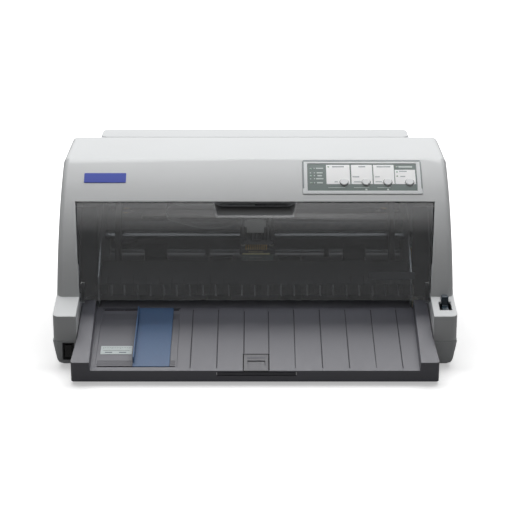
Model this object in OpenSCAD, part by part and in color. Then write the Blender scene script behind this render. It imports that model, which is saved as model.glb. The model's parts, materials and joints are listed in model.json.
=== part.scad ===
// Flatbed dot matrix printer with a hinged smoked cover, in millimetres.
// X runs to the right, Y to the back and Z up. The origin lies under the middle of the whole machine.

/* [Case] */
// Width of the case at the seam between its two halves
case_w = 480; // [470:1:500]
// Height of the flat top above the table
case_h = 210; // [207:1:225]
// Depth of the case behind the origin
back_y = 139; // [137:1:150]
// Line where the flat top meets the curved front
crease_y = 37; // [33:1:41]
// Radius of the curved front
arc_r = 271; // [262:1:285]
// Height of the seam between the lower and the upper case
seam_z = 31.8; // [30:0.2:36]
// Wall of the case mouldings
wall = 3; // [2.6:0.1:3.4]
// Inset of the upper case from the lower one at the seam
seam_step = 1; // [0.6:0.1:1.6]
// Radius of the long edges of the upper case
edge_r = 8; // [6:0.5:10]

/* [Front pods] */
// Width of each front pod
pod_w = 29; // [28:0.5:31]
// Front face of the pods, ahead of the origin
pod_front = 131; // [129:1:136]
// Height of the front edge of the pods
pod_front_z = 63; // [60:1:66]
// Foot of the curved front, where the pod tops end
foot_y = -86; // [-88:1:-85]
// Height of that foot
foot_z = 71; // [69:1:73]

/* [Front cover] */
// Distance along the curve from the crease to the top of the cover
cover_top_d = 69; // [67:1:73]
// How much wider the cover is at its top on each side
cover_flare = 8.5; // [6:0.5:10]
// Gap around the cover
cover_gap = 0.9; // [0.6:0.1:1.2]
// Thickness of the cover
cover_t = 2.5; // [2:0.1:3]
// Width of the finger recess in the cover
recess_w = 101; // [84:1:110]
// Length of the finger recess down the curve
recess_len = 19.5; // [15:0.5:24]
// Depth of the finger recess at its upper end
recess_depth = 8.5; // [6:0.5:10]
// How far the cover hangs below the foot of the curve
cover_skirt = 4; // [3:0.5:5]
// Radius of the pivot pins of the cover
cover_pin_r = 2.5; // [2:0.1:3]

/* [Control panel] */
// Left edge of the panel frame
panel_x0 = 58.7; // [54:0.1:62]
// Right edge of the panel frame
panel_x1 = 206; // [202:0.5:210]
// Width of the rim of the panel frame
panel_rim = 6.2; // [5:0.1:7]
// Distance from the crease to the upper edge of the panel frame
panel_d0 = 4.3; // [3:0.1:6]
// Length of the panel frame down the curve
panel_len = 54; // [52:1:57]
// Diameter of the round buttons
button_d = 10; // [8:0.5:11]
// Travel of the buttons
button_travel = 1.5; // [1:0.1:2]

/* [Front sheet guide] */
// Depth of the sheet guide from its lip to its rear edge
tray_len = 127.4; // [126:0.2:129]
// Slope of the sheet guide in degrees
tray_slope = 13.4; // [13:0.1:13.8]
// Height of the lip of the sheet guide
lip_z = 16.8; // [16:0.2:17.6]
// Thickness of the skin of the sheet guide
tray_t = 2.4; // [2:0.1:2.6]
// Width of the side walls of the sheet guide
tray_wall_w = 16; // [14:0.5:18]
// Height of the side walls above the sheet
tray_wall_h = 10; // [8:0.5:12]
// How much wider the sheet guide is at its lip on each side
tray_flare = 3; // [2:0.2:4]
// Width of the blue edge guide
edge_guide_w = 43; // [38:1:48]
// Height of the fence of the edge guide
fence_h = 8; // [6:0.5:10]

/* [Mechanism] */
// Height of the sheet at the print line
sheet_z = 62; // [61:0.2:63]
// Print line behind the origin
print_y = 12; // [11:0.5:13]
// Gap between a pressure roller and the feed roller under it
nip_gap = 0.4; // [0.3:0.1:0.6]
// Radius of the feed rollers
feed_roller_r = 9; // [8:0.5:9.5]
// Radius of the feed shafts
feed_shaft_r = 4; // [3:0.5:5]
// Radial clearance of a shaft in its bearing
running = 0.05; // [0.03:0.01:0.08]
// Radius of the carriage guide shaft
guide_shaft_r = 6; // [5:0.5:7]
// Teeth of the gear on each feed shaft
roller_teeth = 40; // [40:2:42]
// Teeth of the large intermediate gear, an even number
reduction_teeth = 76; // [76:2:78]
// Teeth of the motor pinion
pinion_teeth = 12; // [12:1:14]
// Width of the print carriage
carriage_w = 44; // [40:1:50]
// Place of the carriage at rest, to the right of the middle
carriage_x = 3; // [0:1:6]

/* [Rear] */
// Depth of the rear sheet guide behind the origin
guide_back = 185; // [180:1:190]
// Half of the width of the rear sheet guide
guide_half = 202; // [196:1:204]
// Height of the rubber feet
foot_h = 3; // [2:0.5:4]

/* [Hidden] */
$fn = 48;
fine = 240;
eps = 0.01;
far = 600;

// The case: half widths, and the centre of the curved front from its two end points and its radius.
low_half = case_w / 2;
top_half = low_half - seam_step;
bay_half = low_half - pod_w;
chord = [crease_y - foot_y, case_h - foot_z];
chord_len = norm(chord);
arc_drop = sqrt(arc_r * arc_r - chord_len * chord_len / 4);
arc_cy = (crease_y + foot_y) / 2 + arc_drop * chord[1] / chord_len;
arc_cz = (case_h + foot_z) / 2 - arc_drop * chord[0] / chord_len;
crease_a = atan2(case_h - arc_cz, crease_y - arc_cy);
foot_a = atan2(foot_z - arc_cz, foot_y - arc_cy);
arc_len = (foot_a - crease_a) * arc_r * PI / 180;
pod_y = -pod_front;
pod_back = foot_y + 29;
pod_r = 7;
pod_rise = (foot_z - pod_front_z) / (foot_y - pod_y);
tower_x = low_half - 16;
tower_y = [pod_back - 13, back_y - 44];
post_h = 16;
inner_top = case_h - wall;
cover_half = bay_half + 0.3;

// The sheet guide: its front edge, its slope length and the line that the sheet follows.
tray_y = -guide_back;
tray_run = tray_len / cos(tray_slope);
tray_back = tray_y + tray_len;
tray_back_z = lip_z + tray_len * tan(tray_slope);
tray_half = bay_half - 1;
tray_floor_half = tray_half - tray_wall_w;
tray_draft = 3.5;
tray_corner = 3;
channel_x0 = -tray_floor_half + 8.1;
channel_w = 95;
channel_y0 = 7.2;
channel_len = tray_run - channel_y0 - 2.3;
channel_t = 1.2;
slide_gap = 0.3;
tab_x0 = -13;
tab_w = 28.7;
tab_len = 32;
bar_x0 = -44;
bar_w = 91.5;
extension_t = 2;
extension_len = 100;

// The mechanism: the side frames stand between the pods and carry the shafts.
frame_t = 2;
frame_half = bay_half - 19;
frame_in = frame_half - frame_t;
pan_z = foot_h + wall + 3;
pan_t = 1.5;
module_mm = 1;
roller_gear_r = roller_teeth * module_mm / 2;
reduction_r = reduction_teeth * module_mm / 2;
pinion_r = pinion_teeth * module_mm / 2;
front_feed_y = -30;
front_feed_z = lip_z + (front_feed_y - tray_y) * tan(tray_slope) - feed_roller_r / cos(tray_slope);
rear_feed_z = sheet_z - feed_roller_r;
gear_span = 2 * (roller_gear_r + reduction_r);
rear_feed_y = front_feed_y + sqrt(gear_span * gear_span - pow(rear_feed_z - front_feed_z, 2));
train_a = atan2(rear_feed_z - front_feed_z, rear_feed_y - front_feed_y);
reduction_y = (front_feed_y + rear_feed_y) / 2;
reduction_z = (front_feed_z + rear_feed_z) / 2;
pinion_step = 21;
pinion_a = train_a + pinion_step * 360 / reduction_teeth;
pinion_y = reduction_y + (reduction_r + pinion_r) * cos(pinion_a);
pinion_z = reduction_z + (reduction_r + pinion_r) * sin(pinion_a);
gear_x = frame_half + 1;
gear_t = 7;
bracket_x = gear_x + gear_t + 2;
bracket_t = 2;
feed_motor_len = 25;
feed_motor_r = 17.5;
front_press_r = 7;
rear_press_r = feed_roller_r;
press_shaft_r = 3;
front_press_y = front_feed_y - (feed_roller_r + front_press_r + nip_gap) * sin(tray_slope);
front_press_z = front_feed_z + (feed_roller_r + front_press_r + nip_gap) * cos(tray_slope);
rear_press_z = rear_feed_z + feed_roller_r + rear_press_r + nip_gap;
rollers_at = [-129, -45, 45, 129];
press_at = [-129, 129];
roller_w = 29;
guide_y = 45;
guide_z = 106.8;
rail_y = 62;
rail_z = 116;
rail_t = 2;
rail_w = 10;
pulley_x = frame_in - 22;
pulley_y = 92;
pulley_r = 6;
belt_gap = 0.3;
belt_t = 1.2;
belt_w = 7;
belt_z = rail_z + rail_t + 3.5;
belt_in = pulley_r + belt_gap;
belt_out = belt_in + belt_t;
tab_end = pulley_y + 24;
carriage_motor_r = 16;
carriage_motor_len = 32;
cartridge_z = rail_z + 20;
cartridge_t = 24;
cartridge_y0 = 64;
cartridge_y1 = 118;
cartridge_half = frame_in - 12;
ribbon_w = 13;
ribbon_t = 0.3;
ribbon_z = sheet_z + 0.5;
head_w = 30;
head_y0 = print_y - 15;
head_y1 = print_y + 15;
shelf_z = guide_z - 8.8;
shelf_t = 6;
head_z0 = shelf_z - 10;
head_z1 = shelf_z + 14;
sink_half = 19;
sink_h = 36;
mask_half = 20;
guide_skin = 1.6;
guide_foot_y = tray_back + 2.6;
nose_z = ribbon_z + ribbon_t + 0.5;

// The buttons sit in a row on the curve, and the board lies under them.
button_d_at = 40.4;
button_x = [109.8, 136.9, 163.6, 190.6];
button_clear = 0.4;
plate_t = 2;

// The rear sheet guide turns on two ears of the upper case.
hinge_y = back_y + 11;
hinge_z = case_h - 9;
guide_top = case_h - 1;
guide_t = 3;
ear_t = 6;

// The chute leads a sheet down from the rear sheet guide to the rear feed rollers.
chute_t = 1.5;
chute_top = [back_y + 9, case_h - 12];
chute_low = [rear_feed_y + 24, sheet_z + 24];
chute_end = [rear_feed_y + 13, sheet_z + 2];

// The rear opening of the case and the sockets behind the boards.
rear_open_z = 50;
board_z = pan_z + pan_t + 5;
board_t = 1.6;
inlet_x = -(frame_half + 21);
inlet_w = 27;
inlet_h = 20;
inlet_z = 30;
socket_z = board_z + board_t;
parallel_x = 110;
parallel_w = 60;
parallel_h = 13;
usb_x = 50;
usb_w = 12;
usb_h = 11;
socket_gap = 0.6;

// The switch in the left pod and the lever in the right one.
switch_x = -(low_half - 18.75);
switch_z = 18.5;
switch_w = 14;
switch_h = 22;
lever_x = low_half - 12.6;
lever_y = -92;
lever_z = 22;
lever_w = 8;
lever_slot_w = 8.6;
lever_wide = 14.5;
pin_r = 3;

// Side profiles are drawn as (y, z) and extruded along X from x0 to x1.
module side(x0, x1) {
    translate([x0, 0, 0]) rotate([90, 0, 90]) linear_extrude(x1 - x0) children();
}

// A block given by its lowest and highest corner.
module block(a, b) {
    translate(a) cube(b - a);
}

// A round bar along X.
module bar_x(x0, x1, y, z, r) {
    translate([x0, y, z]) rotate([0, 90, 0]) cylinder(r = r, h = x1 - x0);
}

// A round bar along Z.
module bar_z(x, y, z0, z1, r) {
    translate([x, y, z0]) cylinder(r = r, h = z1 - z0);
}

// A rectangle with round corners about its centre.
module round_rect(w, h, r) {
    square([w - 2 * r, h], center = true);
    square([w, h - 2 * r], center = true);
    for (i = [-1, 1], j = [-1, 1])
        translate([i * (w / 2 - r), j * (h / 2 - r)]) circle(r = r);
}

// Copies its children on the right and mirrored on the left.
module both_sides() {
    children();
    mirror([1, 0, 0]) children();
}

// A local frame on the curved front, d millimetres down from the crease: Y up the curve, Z outwards.
module on_arc(d) {
    translate([0, arc_cy, arc_cz])
        rotate([crease_a - 90 + d / arc_r * 180 / PI, 0, 0])
            translate([0, 0, arc_r]) children();
}

// A stretch of the curved front from d0 to d1, between two radii and two places in X.
module arc_band(d0, d1, r0, r1, x0, x1) {
    a0 = crease_a + d0 / arc_r * 180 / PI;
    translate([0, arc_cy, arc_cz]) rotate([90, 0, 90]) rotate([0, 0, a0])
        rotate_extrude(angle = (d1 - d0) / arc_r * 180 / PI, $fn = fine)
            translate([r0, x0]) square([r1 - r0, x1 - x0]);
}

// A local frame on the sheet guide: Y up the slope from the lip, Z square to the sheet.
module on_tray() {
    translate([0, tray_y, lip_z]) rotate([tray_slope, 0, 0]) children();
}

// The solid under the curved front and the flat top, drawn in by t, with round long edges.
module hood(t, half) {
    r = arc_r - t;
    e = max(edge_r - t, 0.5);
    intersection() {
        translate([0, arc_cy, arc_cz]) rotate([90, 0, 90]) rotate_extrude($fn = fine) {
            translate([0, -half]) square([r - e, 2 * half]);
            translate([0, -half + e]) square([r, 2 * (half - e)]);
            for (i = [-1, 1]) translate([r - e, i * (half - e)]) circle(r = e);
        }
        translate([0, back_y - t, 0]) rotate([90, 0, 0]) linear_extrude(far) {
            translate([-half, 0]) square([2 * half, case_h - t - e]);
            translate([-half + e, 0]) square([2 * (half - e), case_h - t]);
            for (i = [-1, 1]) translate([i * (half - e), case_h - t - e]) circle(r = e);
        }
    }
}

// One front pod, drawn in by t. Its plan has a round outer corner.
module pod(t, half, z0) {
    intersection() {
        side(bay_half + t, half - t) polygon([
            [pod_y + t, z0], [pod_y + t, pod_front_z - t], [foot_y + 12, foot_z + 12 * pod_rise - t],
            [pod_back + 20, foot_z - t - 4], [pod_back + 20, z0]]);
        linear_extrude(far) {
            translate([0, pod_y + t + pod_r]) square([half - t, far]);
            translate([0, pod_y + t]) square([half - t - pod_r, far]);
            translate([half - t - pod_r, pod_y + t + pod_r]) circle(r = pod_r);
        }
    }
}

// The trapezoid of the front cover, seen square to its middle, drawn in by g.
module cover_prism(g, top_g) {
    mid = (cover_top_d + arc_len) / 2;
    half_len = (arc_len - cover_top_d) / 2;
    on_arc(mid) translate([0, 0, -60]) linear_extrude(90) polygon([
        [-cover_half + g, -half_len - 30], [cover_half - g, -half_len - 30], [cover_half - g, -half_len + 6],
        [cover_half + cover_flare - g, half_len - top_g], [-cover_half - cover_flare + g, half_len - top_g],
        [-cover_half + g, -half_len + 6]]);
}

// Gear tooth flanks as involutes: half the tooth angle at radius r, for pitch radius p.
function inv(a) = tan(a) * 180 / PI - a;
function tooth_half(r, p, n) = let (b = p * cos(20))
    90 / n - 0.07 / p * 180 / PI + inv(20) - inv(acos(min(1, b / r)));
function tooth_points(i, n, p, root, tip) = let (
        low = max(root, p * cos(20)),
        rs = [low, (low + tip) / 2, tip],
        up = [for (r = rs) [r, -tooth_half(r, p, n)]],
        down = [for (k = [2, 1, 0]) [rs[k], tooth_half(rs[k], p, n)]],
        all = concat([[root, -tooth_half(low, p, n)]], up, down, [[root, tooth_half(low, p, n)]]))
    [for (q = all) [q[0] * cos(q[1] + i * 360 / n), q[0] * sin(q[1] + i * 360 / n)]];

// A spur gear along X with its first tooth at angle a, a bore, and a lightened web when it is large.
module gear(n, a, y, z, bore, x0, w) {
    p = n * module_mm / 2;
    root = p - 1.2 * module_mm;
    tip = p + 0.9 * module_mm;
    translate([x0, y, z]) rotate([90, 0, 90]) rotate([0, 0, a]) difference() {
        linear_extrude(w) polygon([for (i = [0 : n - 1]) each tooth_points(i, n, p, root, tip)]);
        translate([0, 0, -1]) cylinder(r = bore, h = w + 2);
        if (n > 30) {
            translate([0, 0, w - 2]) difference() {
                cylinder(r = root - 3, h = 3);
                translate([0, 0, -1]) cylinder(r = bore + 4, h = 5);
            }
            for (i = [0 : 4]) rotate([0, 0, i * 72 + 36])
                translate([(root + bore) / 2, 0, -1]) cylinder(r = (root - bore) / 5, h = w + 2);
        }
    }
}

module lower_case() {
    floor_z = foot_h + wall;
    color("gainsboro") difference() {
        union() {
            difference() {
                // Outer form: flared sides that turn under at the floor
                intersection() {
                    translate([0, back_y, 0]) rotate([90, 0, 0]) linear_extrude(back_y - pod_y)
                        polygon([[-low_half + 13, foot_h], [low_half - 13, foot_h],
                            [low_half - 7.5, foot_h + 1.5], [low_half - 5, foot_h + 6],
                            [low_half, seam_z], [-low_half, seam_z],
                            [-low_half + 5, foot_h + 6], [-low_half + 7.5, foot_h + 1.5]]);
                    translate([0, 0, 0]) linear_extrude(seam_z) {
                        translate([-low_half, pod_y + pod_r]) square([2 * low_half, back_y - pod_y - pod_r]);
                        translate([-low_half + pod_r, pod_y]) square([2 * (low_half - pod_r), 2 * pod_r]);
                        for (i = [-1, 1]) translate([i * (low_half - pod_r), pod_y + pod_r]) circle(r = pod_r);
                    }
                }
                // Inside of the rear body, of the pods and of the sheet guide bay
                block([-low_half + 8, pod_back, floor_z], [low_half - 8, back_y - wall, seam_z + 1]);
                block([-bay_half, pod_y - 1, floor_z], [bay_half, pod_back + 1, seam_z + 1]);
                both_sides() block([bay_half + wall, pod_y + wall, floor_z],
                    [low_half - 8, pod_back + 1, seam_z + 1]);
            }
            // Cross wall under the rear edge of the sheet guide
            block([-bay_half - 1, tray_back + 1, floor_z - 1],
                [bay_half + 1, tray_back + 1 + wall, seam_z]);
            // Bosses under the chassis pan
            for (x = [-160, -60, 60, 160], y = [-30, 115]) bar_z(x, y, floor_z - 1, pan_z, 6);
            // Screw towers for the upper case
            both_sides() for (y = tower_y) bar_z(tower_x, y, floor_z - 1, seam_z, 5);
            // Bearing block of the release lever
            block([bay_half + wall - 1, lever_y - 7, floor_z - 1], [lever_x - lever_w / 2 - 0.6, lever_y + 7, lever_z + 8]);
            block([lever_x + lever_w / 2 + 0.6, lever_y - 7, floor_z - 1], [low_half - 7, lever_y + 7, lever_z + 8]);
        }
        // Window of the power switch
        block([switch_x - switch_w / 2, pod_y - 1, switch_z - switch_h / 2],
            [switch_x + switch_w / 2, pod_y + wall + 1, switch_z + switch_h / 2]);
        // Pin hole of the release lever
        bar_x(bay_half + wall + 1, low_half - 6, lever_y, lever_z, pin_r);
        // Windows of the interface sockets and the mains inlet
        block([parallel_x - parallel_w / 2 - socket_gap, back_y - wall - 1, socket_z - socket_gap],
            [parallel_x + parallel_w / 2 + socket_gap, back_y + 1, seam_z + 1]);
        block([usb_x - usb_w / 2 - socket_gap, back_y - wall - 1, socket_z - socket_gap],
            [usb_x + usb_w / 2 + socket_gap, back_y + 1, seam_z + 1]);
        block([inlet_x - inlet_w / 2 - socket_gap, back_y - wall - 1, inlet_z - inlet_h / 2 - socket_gap],
            [inlet_x + inlet_w / 2 + socket_gap, back_y + 1, seam_z + 1]);
        // Cooling slots in the floor under the power supply
        for (i = [0 : 11]) block([-170 + i * 9, 20, foot_h - 1], [-166.5 + i * 9, 90, floor_z + 1]);
        // Screw holes in the floor
        both_sides() for (y = tower_y) bar_z(tower_x, y, foot_h - 1, seam_z + 1, 1.8);
    }
}

module upper_case() {
    color("lightgray") difference() {
        union() {
            difference() {
                union() {
                    hood(0, top_half);
                    both_sides() pod(0, top_half, seam_z);
                }
                difference() {
                    hood(wall, top_half - wall);
                    both_sides() block([bay_half, pod_y, 0], [bay_half + wall, pod_back, case_h]);
                }
                both_sides() pod(wall, top_half, 0);
            }
            // Cheek walls beside the cover opening
            intersection() {
                hood(1, top_half - 1);
                both_sides() block([bay_half + cover_flare + 1, foot_y - 20, foot_z - 6],
                    [bay_half + cover_flare + 3, -6, case_h - 1]);
            }
            // Ears that carry the rear sheet guide
            both_sides() ear();
            // Return wall behind the finger recess of the cover
            arc_band(cover_top_d - 3.5, cover_top_d - 1.5, arc_r - recess_depth - 8, arc_r - wall + 0.5,
                -recess_w / 2 - 8, recess_w / 2 + 8);
            // Posts that take the case screws, each tied to the side by a web
            both_sides() for (y = tower_y) {
                bar_z(tower_x, y, seam_z, seam_z + post_h, 5);
                block([tower_x, y - 1, seam_z], [top_half - wall + 0.5, y + 1, seam_z + post_h]);
            }
            // Ribs under the flat top
            for (x = [-150, -75, 0, 75, 150])
                block([x - 1, crease_y + 20, inner_top - 7], [x + 1, back_y - wall + eps, inner_top + 1]);
        }
        // Everything under the seam, and the open bay between the pods
        block([-far, -far, -far], [far, far, seam_z]);
        block([-bay_half, -far, 0], [bay_half, pod_back, foot_z + 1]);
        // Opening of the front cover
        cover_prism(0, 0);
        // Window under the control panel and the rebate of its frame
        arc_band(panel_d0, panel_d0 + panel_len, arc_r - 1.5, arc_r + 5, panel_x0, panel_x1);
        arc_band(panel_d0 + panel_rim - 1, panel_d0 + panel_len - panel_rim + 2, arc_r - 10, arc_r + 5,
            panel_x0 + panel_rim - 1, panel_x1 - panel_rim + 1);
        // Slot of the release lever, wide at its front end
        block([lever_x - lever_slot_w / 2, lever_y - 23, foot_z - 16],
            [lever_x + lever_slot_w / 2, foot_y - 0.5, foot_z + 12]);
        block([lever_x - lever_wide / 2 - 0.6, lever_y - 24, foot_z - 16],
            [lever_x + lever_wide / 2 - 0.6, lever_y - 5, foot_z + 12]);
        // Rear opening, and the windows that it shares with the lower case
        block([-frame_in, back_y - wall - 1, rear_open_z], [frame_in, back_y + 1, case_h - 7]);
        block([parallel_x - parallel_w / 2 - socket_gap, back_y - wall - 1, 0],
            [parallel_x + parallel_w / 2 + socket_gap, back_y + 1, socket_z + parallel_h + socket_gap]);
        block([inlet_x - inlet_w / 2 - socket_gap, back_y - wall - 1, 0],
            [inlet_x + inlet_w / 2 + socket_gap, back_y + 1, inlet_z + inlet_h / 2 + socket_gap]);
        // Cooling slots in the sides
        both_sides() for (i = [0 : 7])
            block([top_half - wall - 1, 40 + i * 10, 60], [top_half + 1, 43.5 + i * 10, 95]);
        // Pilot holes of the case screws
        both_sides() for (y = tower_y) bar_z(tower_x, y, seam_z - 1, seam_z + post_h - 3, 1.8);
        // Pivot holes of the front cover
        both_sides() bar_x(bay_half - 1, bay_half + wall + 1, cover_pin_y, cover_pin_z, cover_pin_r + running);
    }
}

cover_pin_y = foot_y + 4;
cover_pin_z = foot_z - 5;

module ear() {
    x0 = guide_half + 1;
    difference() {
        side(x0, x0 + ear_t) polygon([[back_y - 1, hinge_z - 14], [back_y - 1, hinge_z + 4.5],
            [hinge_y + 5, hinge_z + 4.5], [hinge_y + 5, hinge_z - 4]]);
        bar_x(x0 - 1, x0 + ear_t + 1, hinge_y, hinge_z, 2.5 + running);
    }
}

module rubber_feet() {
    color("dimgray") for (x = [-195, 195], y = [-60, 118]) {
        bar_z(x, y, 0, foot_h, 9);
    }
}

module case_screws() {
    color("silver") both_sides() for (y = tower_y) {
        bar_z(tower_x, y, foot_h - 1.6, foot_h, 3.5);
        bar_z(tower_x, y, foot_h - eps, seam_z + post_h - 6, 1.8);
    }
}

module panel_frame() {
    color("whitesmoke") difference() {
        arc_band(panel_d0 + 0.2, panel_d0 + panel_len - 0.2, arc_r - 1.5, arc_r + 0.8,
            panel_x0 + 0.2, panel_x1 - 0.2);
        arc_band(panel_d0 + panel_rim, panel_d0 + panel_len - panel_rim + 1, arc_r - 5, arc_r + 5,
            panel_x0 + panel_rim, panel_x1 - panel_rim);
    }
}

module button_holes(r) {
    for (x = button_x) on_arc(button_d_at) translate([x, 0, -20]) cylinder(r = r, h = 30);
}

module panel_plate() {
    color("darkslategray") difference() {
        union() {
            arc_band(panel_d0 + panel_rim + 0.2, panel_d0 + panel_len - panel_rim + 0.8,
                arc_r - plate_t, arc_r + 0.3, panel_x0 + panel_rim + 0.2, panel_x1 - panel_rim - 0.2);
            arc_band(panel_d0 + panel_rim - 0.7, panel_d0 + panel_len - panel_rim + 1.7,
                arc_r - plate_t - plate_rim_t, arc_r - plate_t + 0.4,
                panel_x0 + panel_rim - 0.7, panel_x1 - panel_rim + 0.7);
        }
        button_holes(button_d / 2 + button_clear);
        for (p = led_places) on_board(p) translate([0, 0, -10]) cylinder(r = 1.3, h = 20, $fn = 24);
    }
}

// Lamps: three in the column at the left of the plate, four beside the fields of the buttons.
led_places = [[69.8, 19.1], [69.8, 30.7], [69.8, 41.4], [90.8, 15.8], [174.9, 16.4], [175.7, 24.1], [175.7, 31]];
lamp_proud = 0.6;
board_d = button_d_at - 6;
board_top = 11;
plate_rim_t = 1;
flange_t = 1.2;
button_proud = 1.9;
switch_top = -8.6;

// The frame of the panel board, at a place given as (x, distance from the crease).
module on_board(p) {
    on_arc(board_d) translate([p[0], board_d - p[1], 0]) children();
}
function led_sink(p) = pow(board_d - p[1], 2) / (2 * arc_r);

module one_button(i) {
    // Cap, flange that is held under the plate, and a stem over the switch
    flange_top = -plate_t - plate_rim_t - 0.3;
    on_arc(button_d_at) translate([button_x[i], 0, 0]) {
        translate([0, 0, flange_top - 1]) cylinder(r = button_d / 2, h = button_proud - flange_top + 1);
        translate([0, 0, flange_top - flange_t]) cylinder(r = button_d / 2 + 1.4, h = flange_t);
        translate([0, 0, switch_top + button_travel + 0.3])
            cylinder(r = 1.6, h = flange_top - switch_top - button_travel - 1, $fn = 24);
    }
}

module tear_button() { color("gray") one_button(0); }
module feed_button() { color("gray") one_button(1); }
module load_button() { color("gray") one_button(2); }
module pause_button() { color("gray") one_button(3); }

module indicator_leds() {
    color("limegreen") for (p = led_places) on_board(p)
        translate([0, 0, -board_top]) cylinder(r = 1.1, h = board_top - led_sink(p) + lamp_proud, $fn = 24);
}

module panel_board() {
    x0 = panel_x0 + panel_rim;
    x1 = panel_x1 - panel_rim;
    color("seagreen") {
        on_arc(board_d) translate([x0, -22, -board_top - board_t]) cube([x1 - x0, 44, board_t]);
        // Switches under the buttons
        on_arc(button_d_at) for (x = button_x)
            translate([x - 3, -3, -board_top - 0.2]) cube([6, 6, board_top + 0.2 + switch_top]);
    }
}

module power_switch_housing() {
    color([0.12, 0.12, 0.13]) difference() {
        union() {
            block([switch_x - switch_w / 2 + 0.2, pod_y + 1, switch_z - switch_h / 2 + 0.2],
                [switch_x + switch_w / 2 - 0.2, pod_y + 20, switch_z + switch_h / 2 - 0.2]);
        }
        block([switch_x - switch_w / 2 + 1.6, pod_y - 1, switch_z - switch_h / 2 + 1.8],
            [switch_x + switch_w / 2 - 1.6, pod_y + 12, switch_z + switch_h / 2 - 1.8]);
        bar_x(switch_x - switch_w / 2 + 0.6, switch_x + switch_w / 2 - 0.6, rocker_y, switch_z, 1.2 + running);
    }
}

rocker_y = pod_y + 6;

module power_rocker() {
    color([0.05, 0.05, 0.05]) {
        side(switch_x - switch_w / 2 + 2, switch_x + switch_w / 2 - 2) polygon([
            [rocker_y - 4.4, switch_z + 7.4], [rocker_y - 3.2, switch_z], [rocker_y - 7, switch_z - 7.4],
            [rocker_y - 1.5, switch_z - 7.8], [rocker_y + 2.6, switch_z], [rocker_y - 0.5, switch_z + 7.8]]);
        bar_x(switch_x - switch_w / 2 + 0.8, switch_x + switch_w / 2 - 0.8, rocker_y, switch_z, 1.2);
    }
}

module release_lever() {
    color([0.1, 0.17, 0.25]) difference() {
        union() {
            // Blade with a step for the fingertip in front of it
            side(lever_x - lever_w / 2, lever_x + lever_w / 2) polygon([
                [lever_y - 5, lever_z - 2], [lever_y - 5, foot_z - 26], [lever_y - 21, foot_z - 14],
                [lever_y - 22, foot_z - 9.5], [lever_y - 5.5, foot_z - 6.5], [lever_y - 4.5, foot_z + 2.5],
                [lever_y - 2, foot_z + 4.5], [lever_y + 3, foot_z + 4], [lever_y + 4.2, foot_z - 2],
                [lever_y + 4.2, foot_z - 20], [lever_y + 5, lever_z - 2]]);
            bar_x(lever_x - lever_w / 2, lever_x + lever_w / 2, lever_y, lever_z, 6);
        }
        bar_x(lever_x - lever_w, lever_x + lever_w, lever_y, lever_z, pin_r + running);
    }
}

module lever_pin() {
    color("silver") bar_x(bay_half + wall + 1, low_half - 6, lever_y, lever_z, pin_r);
}

module front_cover() {
    lug_x0 = bay_half - 6;
    lug_x1 = bay_half - 1.4;
    color([0.25, 0.27, 0.28]) difference() {
        union() {
            intersection() {
                arc_band(cover_top_d + cover_gap, arc_len + cover_skirt, arc_r - cover_t, arc_r, -far / 2, far / 2);
                cover_prism(cover_gap + 0.3, cover_gap);
            }
            // Scoop behind the finger recess
            intersection() {
                arc_band(cover_top_d + cover_gap, cover_top_d + recess_len + 6, arc_r - 14, arc_r - eps,
                    -far / 2, far / 2);
                recess_form(2.2);
            }
            // Ribs that guide the sheet under the cover
            for (i = [-cover_ribs : cover_ribs]) arc_band(arc_len - 15, arc_len - 1, arc_r - cover_t - 2, arc_r - cover_t + 0.2,
                i * rib_pitch - 0.6, i * rib_pitch + 0.6);
            // Pivot lugs
            both_sides() {
                side(lug_x0, lug_x1) polygon([[cover_pin_y - 3.6, cover_pin_z], [foot_y + 0.3, foot_z + 0.8],
                    [foot_y + 4, foot_z + 16], [foot_y + 9, foot_z + 16], [cover_pin_y + 4.4, cover_pin_z]]);
                bar_x(lug_x0, lug_x1, cover_pin_y, cover_pin_z, 4.2);
                bar_x(lug_x1 - 1, bay_half + wall - 0.6, cover_pin_y, cover_pin_z, cover_pin_r);
            }
        }
        recess_form(0);
    }
}

rib_pitch = 15.7;
cover_ribs = floor((bay_half - 12) / rib_pitch);

// Finger recess, grown by t: open towards the band above, with sloping sides and a floor that slopes in.
module recess_form(t) {
    w = recess_w / 2 + t;
    side_slope = 1.4;
    low_end = recess_len * recess_len / (2 * arc_r);
    on_arc(cover_top_d) intersection() {
        translate([0, 0, -40]) linear_extrude(50) polygon([
            [-w, 8], [w, 8], [w, 0], [w - 5.5, -recess_len - t], [-w + 5.5, -recess_len - t], [-w, 0]]);
        rotate([90, 0, 0]) linear_extrude(80, center = true) polygon([
            [-w - 6 * side_slope, 6], [w + 6 * side_slope, 6],
            [w - (recess_depth + t) * side_slope, -recess_depth - t],
            [-w + (recess_depth + t) * side_slope, -recess_depth - t]]);
        rotate([90, 0, 90]) linear_extrude(2 * w, center = true) polygon([
            [8, 6], [8, -recess_depth - t], [0, -recess_depth - t],
            [-recess_len - t, -low_end - t], [-recess_len - t, 6]]);
    }
}

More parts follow.
